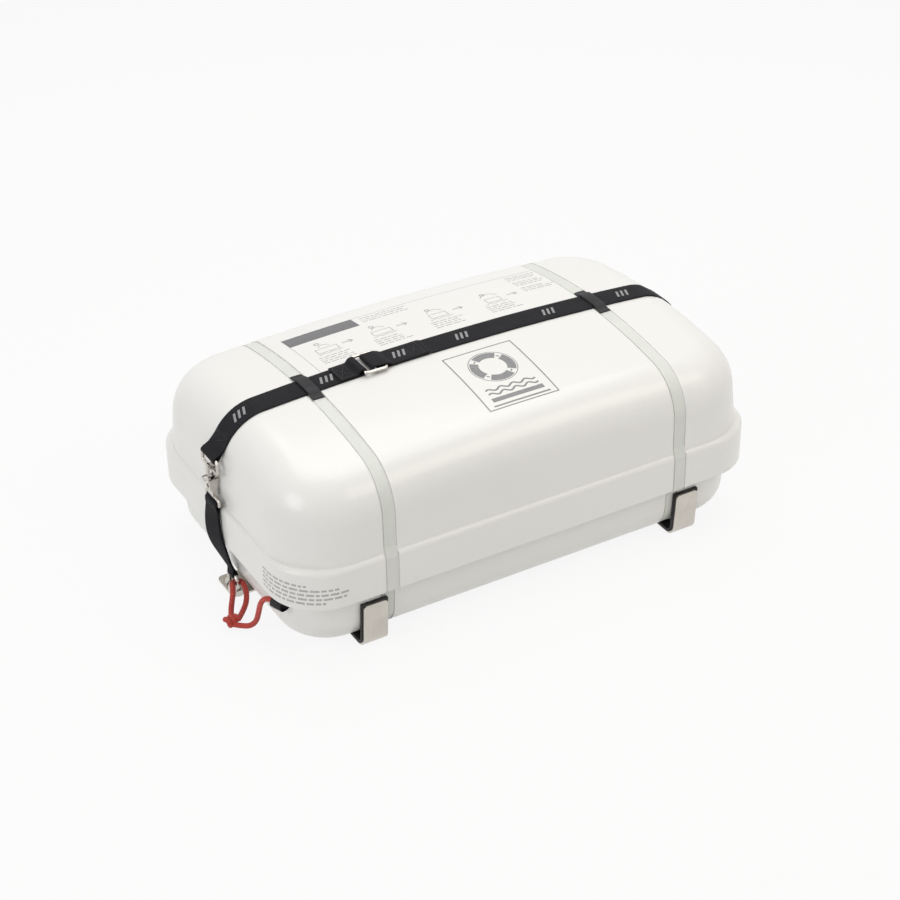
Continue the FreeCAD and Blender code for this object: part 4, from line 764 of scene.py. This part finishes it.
def sewn_ends():
    half = WIDE / 2 - 4 * MM
    slide_end = RIGHT_RUN.along_of(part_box("joining_link")[1].x + 44 * MM)
    anchor_end = RIGHT_RUN.total - 28 * MM
    for name, run, first, last in (
            ("stitches_hook_end", LEFT_RUN, 16 * MM, 34 * MM),
            ("stitches_left_tail", LEFT_TAIL, 3 * MM, 22 * MM),
            ("stitches_slide_end", RIGHT_RUN, slide_end, slide_end + 20 * MM),
            ("stitches_anchor_end", RIGHT_RUN, anchor_end, anchor_end + 20 * MM)):
        stitches(name, run.face(THICK / 2), box_and_cross(first, last, half))


def keepers():
    """Folded tabs over the webbing, their ends sewn flat on the binding bands."""
    for side in ("left", "right"):
        node = "lashing_keeper_" + side
        low, high, centre = box_of(node)
        foot, top = low.z + KEEPER / 2, high.z - KEEPER / 2
        knee = WIDE / 2 + 1.2 * MM
        half = [(knee, top), (knee + 2 * MM, top - 1.2 * MM), (knee + 4 * MM, foot + 0.9 * MM),
                (knee + 8 * MM, foot + 0.3 * MM), (high.y - 0.5 * MM, foot)]
        middle = [(knee * step / 4, top + 0.15 * MM) for step in range(4)]
        outline = [(-y, z) for y, z in reversed(middle[1:] + half)] + middle + half
        spots = [Vector((centre.x, y, z)) for y, z in eased(outline)]
        tab = Ribbon(spots, (-1, 0, 0), 1.0 * MM)
        width = high.x - low.x
        tab.mesh("keeper_" + side, width, KEEPER, "keeper_rubber", [node])
        reach = width / 2 - 2.5 * MM
        near, far = 3.5 * MM, 7.0 * MM
        rows = [((s, -reach), (s, reach)) for s in (near, far, tab.total - far, tab.total - near)]
        stitches("keeper_stitches_" + side, tab.face(KEEPER / 2), rows, "keeper_rubber")


keepers()
sewn_ends()


# ---------------------------------------------------------------- lower strop

def rounded(points, passes):
    """Points of a polyline with its corners cut again and again, ends kept."""
    for _ in range(passes):
        cut = [points[0]]
        for a, b in zip(points, points[1:]):
            cut += [a.lerp(b, 0.25), a.lerp(b, 0.75)]
        points = cut + [points[-1]]
    return points


def ease_between(value, low, high):
    share = min(max((value - low) / (high - low), 0.0), 1.0)
    return share * share * (3 - 2 * share)


def strop():
    """A sewn loop of webbing from the slip's foot bar to the shackle, narrowed at its foot."""
    joint = next(item for item in frame["joints"] if item["name"] == "slip_tongue_hinge")
    _, bow_high, bow = box_of("shackle_bow")
    top = Vector((joint["pos_m"][0], 0.0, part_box("slip_body")[0].z + STEEL_ROD))
    foot = Vector((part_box("shackle_pin")[0].x + 5.1 * MM, bow.y, bow_high.z - PIN_ROD))
    bulge = BELT_LOW.x - 7.6 * MM       # clear of the belt
    line = [top, Vector((top.x - 1.5 * MM, 0.0, top.z - 12 * MM)),
            Vector((bulge, 0.0, BELT_LOW.z + 27 * MM)),
            Vector((bulge + 0.6 * MM, foot.y * 0.35, BELT_LOW.z + 2 * MM)),
            Vector((foot.x - 8 * MM, foot.y * 0.9, foot.z + 26 * MM)),
            Vector((foot.x - 1.5 * MM, foot.y, foot.z + 10 * MM)), foot]
    core = Ribbon(rounded(line, 3), ACROSS, 1.5 * MM)
    close = THICK / 2 + STROP_GAP       # from the core to the middle of either layer
    opens = 13 * MM                     # how far from a bar the two layers part

    def cut(s, face):
        """Cross-section at distance s: face is 1 for the outer layer, -1 for the inner one."""
        spot, way, out = core.frame_at(s)
        twist = math.radians(-13.0) * math.sin(math.pi * s / core.total)
        side = ACROSS * math.cos(twist) + out * math.sin(twist)
        out = way.cross(side).normalized() * face
        narrow = ease_between(s, 0.52 * core.total, 0.93 * core.total)
        away = close + STEEL_ROD * (1 - ease_between(s, 0, opens))
        away += PIN_ROD * (1 - ease_between(core.total - s, 0, opens))
        return Station(s * face, spot + out * away, side, out,
                       STROP_TOP + (STROP_FOOT - STROP_TOP) * narrow, 0.35 * MM * narrow * face)

    def turn(centre, way, out, rod, half, gather):
        """Cross-sections round a bar, from one layer to the other."""
        result = []
        radius = rod + close
        for step in range(1, 12):
            angle = math.pi * step / 12
            radial = out * math.cos(angle) + way * math.sin(angle)
            result.append(Station(radius * angle, centre + radial * radius, ACROSS, radial,
                                  half, gather * math.cos(angle)))
        return result

    inner = [s for s in core.lengths if 1e-6 < s < core.total - 1e-6]
    _, first_way, first_out = core.frame_at(0)
    _, last_way, last_out = core.frame_at(core.total)
    stations = [cut(s, 1) for s in inner]
    stations += turn(core.points[-1], last_way, last_out, PIN_ROD, STROP_FOOT, 0.3 * MM)
    stations += [cut(s, -1) for s in reversed(inner)]
    stations += turn(core.points[0], -first_way, -first_out, STEEL_ROD, STROP_TOP, 0.0)
    strip("strop", stations, THICK, "black_webbing", ["lower_strop"], closed=True)

    def place(s, across):
        station = cut(s, 1)
        return station.centre + station.side * across + station.out * (THICK / 2), station.out

    stitches("stitches_strop_top", place, box_and_cross(15 * MM, 34 * MM, STROP_TOP - 4 * MM))
    half = STROP_FOOT - 2.5 * MM
    lows = [core.total - (15 + step * 4) * MM for step in range(4)]
    stitches("stitches_strop_foot", place, [((s, -half), (s, half)) for s in lows])


strop()


# ---------------------------------------------------------------- painter

# control points: the line from the gland to the knot, and the loop from the knot round
# the shackle's front leg and back
LINE = [(-0.3823, -0.1582, 0.0800), (-0.3870, -0.1452, 0.0790), (-0.3920, -0.1345, 0.0660),
        (-0.3925, -0.1270, 0.0440), (-0.3935, -0.1185, 0.0230), (-0.3990, -0.1090, 0.0110),
        (-0.4070, -0.0985, 0.0075), (-0.4160, -0.0900, 0.0080)]
LOOP = [(-0.4140, -0.0780, 0.0100), (-0.4070, -0.0630, 0.0135), (-0.3960, -0.0460, 0.0190),
        (-0.3882, -0.0325, 0.0245), (-0.3870, -0.0252, 0.0251), (-0.3823, -0.0205, 0.0253),
        (-0.3757, -0.0205, 0.0253), (-0.3710, -0.0252, 0.0251), (-0.3713, -0.0355, 0.0242),
        (-0.3760, -0.0520, 0.0180), (-0.3875, -0.0680, 0.0115), (-0.4050, -0.0830, 0.0085)]


def spline_points(controls):
    """Points of the smooth NURBS line with these control points."""
    data = bpy.data.curves.new("route", "CURVE")
    data.dimensions = "3D"
    data.resolution_u = 16
    spline = data.splines.new("NURBS")
    spline.points.add(len(controls) - 1)
    for point, spot in zip(spline.points, controls):
        point.co = (*spot, 1.0)
    spline.order_u = 3
    spline.use_endpoint_u = True
    holder = show("route", data)
    bpy.context.view_layer.update()
    line = bpy.data.meshes.new_from_object(holder)
    points = [vertex.co.copy() for vertex in line.vertices]
    bpy.data.objects.remove(holder)
    bpy.data.meshes.remove(line)
    return points


def braided(name, path, sides=32):
    """A tube along a path with the raised strands of a braid and blunt rounded ends."""
    spots = Ribbon.even(path, 0.5 * MM)
    way = (spots[1] - spots[0]).normalized()
    side = way.orthogonal().normalized()
    vertices, faces, uvs = [], [], []
    along = 0.0
    for number, spot in enumerate(spots):
        before, after = spots[max(number - 1, 0)], spots[min(number + 1, len(spots) - 1)]
        way = (after - before).normalized()
        side = (side - way * side.dot(way)).normalized()
        out = way.cross(side)
        if number:
            along += (spot - spots[number - 1]).length
        for index in range(sides):
            share = index / sides
            angle = 2 * math.pi * share
            crossing = (math.sin(2 * math.pi * along / PLAIT + STRANDS * angle)
                        * math.sin(2 * math.pi * along / PLAIT - STRANDS * angle))
            radius = CORD / 2 * (0.975 + 0.045 * crossing)
            vertices.append(spot + side * math.cos(angle) * radius
                            + out * math.sin(angle) * radius)
            uvs.append((along, share))
    last = len(vertices) - sides
    for start in range(0, last, sides):
        join_rings(faces, start, start + sides, sides)
    for start, spot, inward in ((0, spots[0], spots[1]), (last, spots[-1], spots[-2])):
        shift = (inward - spot).normalized() * CORD * 0.13
        inner = len(vertices)
        vertices += [spot + (vertices[start + index] - spot) * 0.6 - shift
                     for index in range(sides)]
        uvs += uvs[start:start + sides]
        if start:
            join_rings(faces, start, inner, sides)
        else:
            join_rings(faces, inner, start, sides)
        faces.append(ring_cap(inner, sides, start == 0))
    piece = new_piece(name, vertices, faces, "red_cord", sharp=60.0)
    lay_uvs(piece, uvs)
    return piece


def knot_path():
    """Wrapped turns of the line inside the knot's box."""
    low, high, centre = box_of("painter_knot")
    reach = (high.x - low.x) / 2 - CORD / 2 - 0.6 * MM
    wide = (high.y - low.y - CORD) / 2
    tall = (high.z - low.z - CORD) / 2 - 0.2 * MM
    turns, count = 2.35, 28
    controls = []
    for number in range(count + 1):
        share = number / count
        angle = 2 * math.pi * turns * share + 0.6
        grow = 1.0 - 0.10 * abs(2 * share - 1)
        controls.append((centre.x - reach + 2 * reach * share,
                         centre.y + wide * grow * math.cos(angle),
                         centre.z + tall * grow * math.sin(angle)))
    return spline_points(controls)


def painter():
    """The knot, the line from the gland to it, and the loop round the shackle."""
    knot = braided("painter_hitch", knot_path())
    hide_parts("painter_knot")
    line_path, loop_path = spline_points(LINE), spline_points(LOOP)
    line = braided("painter_rope", line_path)
    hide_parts("painter_line")
    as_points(line_path)
    loop = braided("painter_bight", loop_path)
    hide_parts("painter_loop")
    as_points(loop_path)


painter()


# ---------------------------------------------------------------- prints

def on_crown(x, y):
    """The canister's top from above, and the way out of it."""
    spot, normal = SHELL.ray_cast(Vector((x, y, 1.0)), DOWN)[:2]
    return spot + normal * PRINT_LIFT, normal


def on_belt(s, z):
    """The belt round the front left corner: s runs from the left end's side to the front's."""
    centre = Vector((BELT_LOW.x + BELT_CORNER, BELT_LOW.y + BELT_CORNER, 0))
    quarter = BELT_CORNER * math.pi / 2
    if s < 0:
        base, inward = Vector((BELT_LOW.x, centre.y - s, z)), Vector((1, 0, 0))
    elif s > quarter:
        base, inward = Vector((centre.x + s - quarter, BELT_LOW.y, z)), Vector((0, 1, 0))
    else:
        angle = s / BELT_CORNER
        inward = Vector((math.cos(angle), math.sin(angle), 0))
        base = Vector((centre.x, centre.y, z)) - inward * BELT_CORNER
    spot = SHELL.ray_cast(base - inward * 0.05, inward)[0]
    return spot - inward * PRINT_LIFT, -inward


def stroke_rows(points, width, across):
    """Rows of points across a stroke, with its corners mitred."""
    spots = [Vector(point) for point in points]
    fine = []
    for a, b in zip(spots, spots[1:]):
        parts = max(math.ceil((b - a).length / PRINT_GRID), 1)
        fine += [a.lerp(b, step / parts) for step in range(parts)]
    fine.append(spots[-1])
    loop = (spots[0] - spots[-1]).length < 1e-6
    rows = []
    for index, spot in enumerate(fine):
        before = fine[index - 1] if index else (fine[-2] if loop else spot)
        after = fine[index + 1] if index < len(fine) - 1 else (fine[1] if loop else spot)
        way = (after - before).normalized()
        side = Vector((-way.y, way.x))
        into = (spot - before).normalized() if (spot - before).length > 0 else way
        stretch = 1.0 / max(abs(into.dot(way)), 0.5)
        rows.append([spot + side * stretch * width * (step / across - 0.5)
                     for step in range(across + 1)])
    return rows


def printed_mark(name, place, strokes, slot, material):
    """Thin ink on a surface: each stroke is a line of 2-D points with a width."""
    vertices, faces = [], []
    for points, width in strokes:
        across = max(math.ceil(width / PRINT_GRID), 1)
        rows = stroke_rows(points, width, across)
        start = len(vertices)
        wide = across + 1
        for depth in (0.0, PRINT_DEPTH):
            for row in rows:
                for spot in row:
                    there, out = place(spot.x, spot.y)
                    vertices.append(there - out * depth)
        under = len(rows) * wide

        def wall(corner, after):
            """A face of the ink's edge, between two neighbours on its top."""
            faces.append((start + corner, start + after, start + under + after,
                          start + under + corner))

        last = (len(rows) - 1) * wide
        for corner in range(0, last, wide):
            for column in range(corner, corner + across):
                quad = (column, column + 1, column + wide + 1, column + wide)
                faces.append(tuple(start + index for index in quad[::-1]))
                faces.append(tuple(start + under + index for index in quad))
            wall(corner + wide, corner)
            wall(corner + across, corner + across + wide)
        for column in range(across):
            wall(column, column + 1)
            wall(last + column + 1, last + column)
    new_piece(name, vertices, faces, slot, material)


def in_mm(*points):
    return [(x * MM, y * MM) for x, y in points]


def ring_of(x, y, radius, width, first=0.0, last=360.0, count=40):
    """A stroke round a centre; all in millimetres and degrees."""
    return arc((x * MM, y * MM), radius * MM, first, last, count), width * MM


def line_of(width, *points):
    """A stroke through points in millimetres."""
    return in_mm(*points), width * MM


def frame_of(x, y, wide, tall, width):
    """A closed outline, begun in the middle of a side so that each corner is mitred."""
    a, b = wide / 2, tall / 2
    return line_of(width, (x, y - b), (x + a, y - b), (x + a, y + b), (x - a, y + b),
                   (x - a, y - b), (x, y - b))


def wave_of(x, y, width, pitch, height, turn, reach):
    """A small wave to both sides of its middle; turn is in radians for each step of pitch."""
    return line_of(width, *((x + step * pitch, y + height * math.sin(step * turn))
                            for step in range(-reach, reach + 1)))


def words(first, last, level, height, gap=2.2):
    """Bars in place of the words of one line, in millimetres."""
    result = []
    while first < last - 4:
        long = min(random.uniform(4.0, 13.0), last - first)
        result.append(line_of(height, (first, level), (first + long, level)))
        first += long + gap
    return result


def emblem():
    """Plain lifebuoy over two waves and two bars, in an upright outline."""
    x, y = 11, -109
    buoy = y + 20
    strokes = [frame_of(x, y, 112, 132, 2.0)]
    for lean in (45, 135, 225, 315):
        strokes.append(ring_of(x, buoy, 27, 13, lean + 9, lean + 81, 16))
        strokes.append(ring_of(x, buoy, 27, 2.4, lean - 5, lean + 5, 3))
    strokes.append(ring_of(x, buoy, 35.5, 1.2))
    for level in (y - 27, y - 36):
        strokes.append(wave_of(x, level, 3.0, 2, 2.6, 0.62, 20))
    for level, half, width in ((y - 48, 42, 8.0), (y - 60, 46, 3.0)):
        strokes.append(line_of(width, (x - half, level), (x + half, level)))
    printed_mark("emblem", on_crown, strokes, "gelcoat_shell", INK_GREY)


def label():
    """Instruction panel: plain banner, four sketches with arrows, lines of text as bars."""
    strokes = [line_of(30, (-205, 136), (-90, 136))]
    printed_mark("label_banner", on_crown, strokes, "gelcoat_shell", INK_DARK)
    strokes = [frame_of(16, 86, 442, 130, 0.9)]
    for level in (143, 136, 129):
        strokes += words(-80, random.uniform(-8, 6), level, 2.0)
    for number, x in enumerate((-165, -75, 20, 115)):
        strokes.append(frame_of(x, 80, 34 - 3 * number, 13, 1.3))           # raft
        strokes.append(ring_of(x, 89, 9 + 2 * number, 1.5, 20, 160, 12))    # its canopy
        strokes.append(ring_of(x - 6, 104, 3.2, 2.2, count=16))             # a head
        strokes.append(line_of(2.2, (x + 26, 84), (x + 42, 84)))            # arrow
        strokes.append(line_of(1.8, (x + 37, 89), (x + 43, 84), (x + 37, 79)))
        strokes.append(wave_of(x, 69, 1.2, 2.5, 1.3, 1.1, 8))
        for level in (60, 54, 48, 42):
            strokes += words(x - 24, x + random.uniform(18, 34), level, 1.9)
    for level in (142, 136, 130, 118, 112, 106, 94, 88, 82):
        strokes += words(172, random.uniform(214, 232), level, 1.9)
    printed_mark("label_sketches", on_crown, strokes, "gelcoat_shell", INK_PALE)


def belt_text():
    """Rows of text on the belt, as bars, round its front left corner."""
    strokes = []
    for level, last in ((133, 74), (126, 118), (119, 132), (112, 126), (105, 96)):
        strokes += words(-12, last, level, 3.2, 2.6)
    printed_mark("belt_text", on_belt, strokes, "gelcoat_shell", INK_PALE)


def strap_marks():
    """Pale slanted bars woven into the lashing at even spaces."""
    for side, ribbon, places in (("left", LEFT_RUN, (-345, -209)),
                                 ("right", RIGHT_RUN, (-92, 12, 160, 293))):
        strokes = []
        for x in places:
            s = ribbon.along_of(x * MM) / MM
            strokes += [line_of(3.6, (s + shift - 3, -8), (s + shift + 3, 8))
                        for shift in (-8, 0, 8)]
        printed_mark("strap_marks_" + side, ribbon.face(THICK / 2 + PRINT_LIFT), strokes,
                     "black_webbing", WOVEN_MARK)


emblem()
label()
belt_text()
strap_marks()


# ---------------------------------------------------------------- stage

def add_camera():
    data = bpy.data.cameras.new("view")
    data.lens = FOCAL_LENGTH
    data.sensor_width = SENSOR
    data.clip_end = 60.0
    camera = show("view", data)
    turn = Euler([math.radians(angle) for angle in CAMERA_TURN]).to_matrix().to_4x4()
    camera.matrix_world = Matrix.Translation(CAMERA_PLACE) @ turn
    bpy.context.scene.camera = camera


def add_floor():
    """A pale floor: plain to the light, white to the eye."""
    floor = bpy.data.meshes.new("floor")
    corners = [(-1, -1), (1, -1), (1, 1), (-1, 1)]
    floor.from_pydata([(x * FLOOR_REACH, y * FLOOR_REACH, 0) for x, y in corners], [],
                      [(0, 1, 2, 3)])
    piece = show("floor", floor)
    net = Net("floor_paint")
    net.finish((0.80, 0.80, 0.795), 0.9)
    white = net.add("ShaderNodeEmission")
    white.inputs["Strength"].default_value = 1.0
    blend = net.add("ShaderNodeMixShader")
    net.feed(blend.inputs[0], net.math("MULTIPLY", net.seen(), FLOOR_WHITE))
    net.feed(blend.inputs[1], net.shader.outputs[0])
    net.feed(blend.inputs[2], white.outputs[0])
    net.feed(net.tree.nodes["Material Output"].inputs["Surface"], blend.outputs[0])
    dress(piece, net.material)


def add_lamp(name, place, size, power, colour):
    data = bpy.data.lights.new(name, "AREA")
    data.shape = "RECTANGLE"
    data.size, data.size_y = size
    data.energy = power
    data.color = colour
    lamp = show(name, data)
    lamp.location = place
    lamp.rotation_euler = (Vector(AIM) - Vector(place)).to_track_quat("-Z", "Y").to_euler()


class WorldNet(Net):
    """The same short calls for the world's node tree."""

    def __init__(self, world):
        self.tree = world.node_tree
        self.shader = self.tree.nodes["Background"]


def add_world():
    """White to the eye, and a weaker soft light on everything."""
    world = bpy.data.worlds.new("studio")
    bpy.context.scene.world = world
    world.use_nodes = True
    net = WorldNet(world)
    net.feed(net.shader.inputs["Color"], (1.0, 1.0, 1.0))
    net.feed(net.shader.inputs["Strength"], net.spread(net.seen(), WORLD_LIGHT, WORLD_SEEN))


bpy.context.scene.view_settings.view_transform = "Standard"
add_camera()
add_floor()
add_world()
for name, settings in LAMPS.items():
    add_lamp(name, *settings)
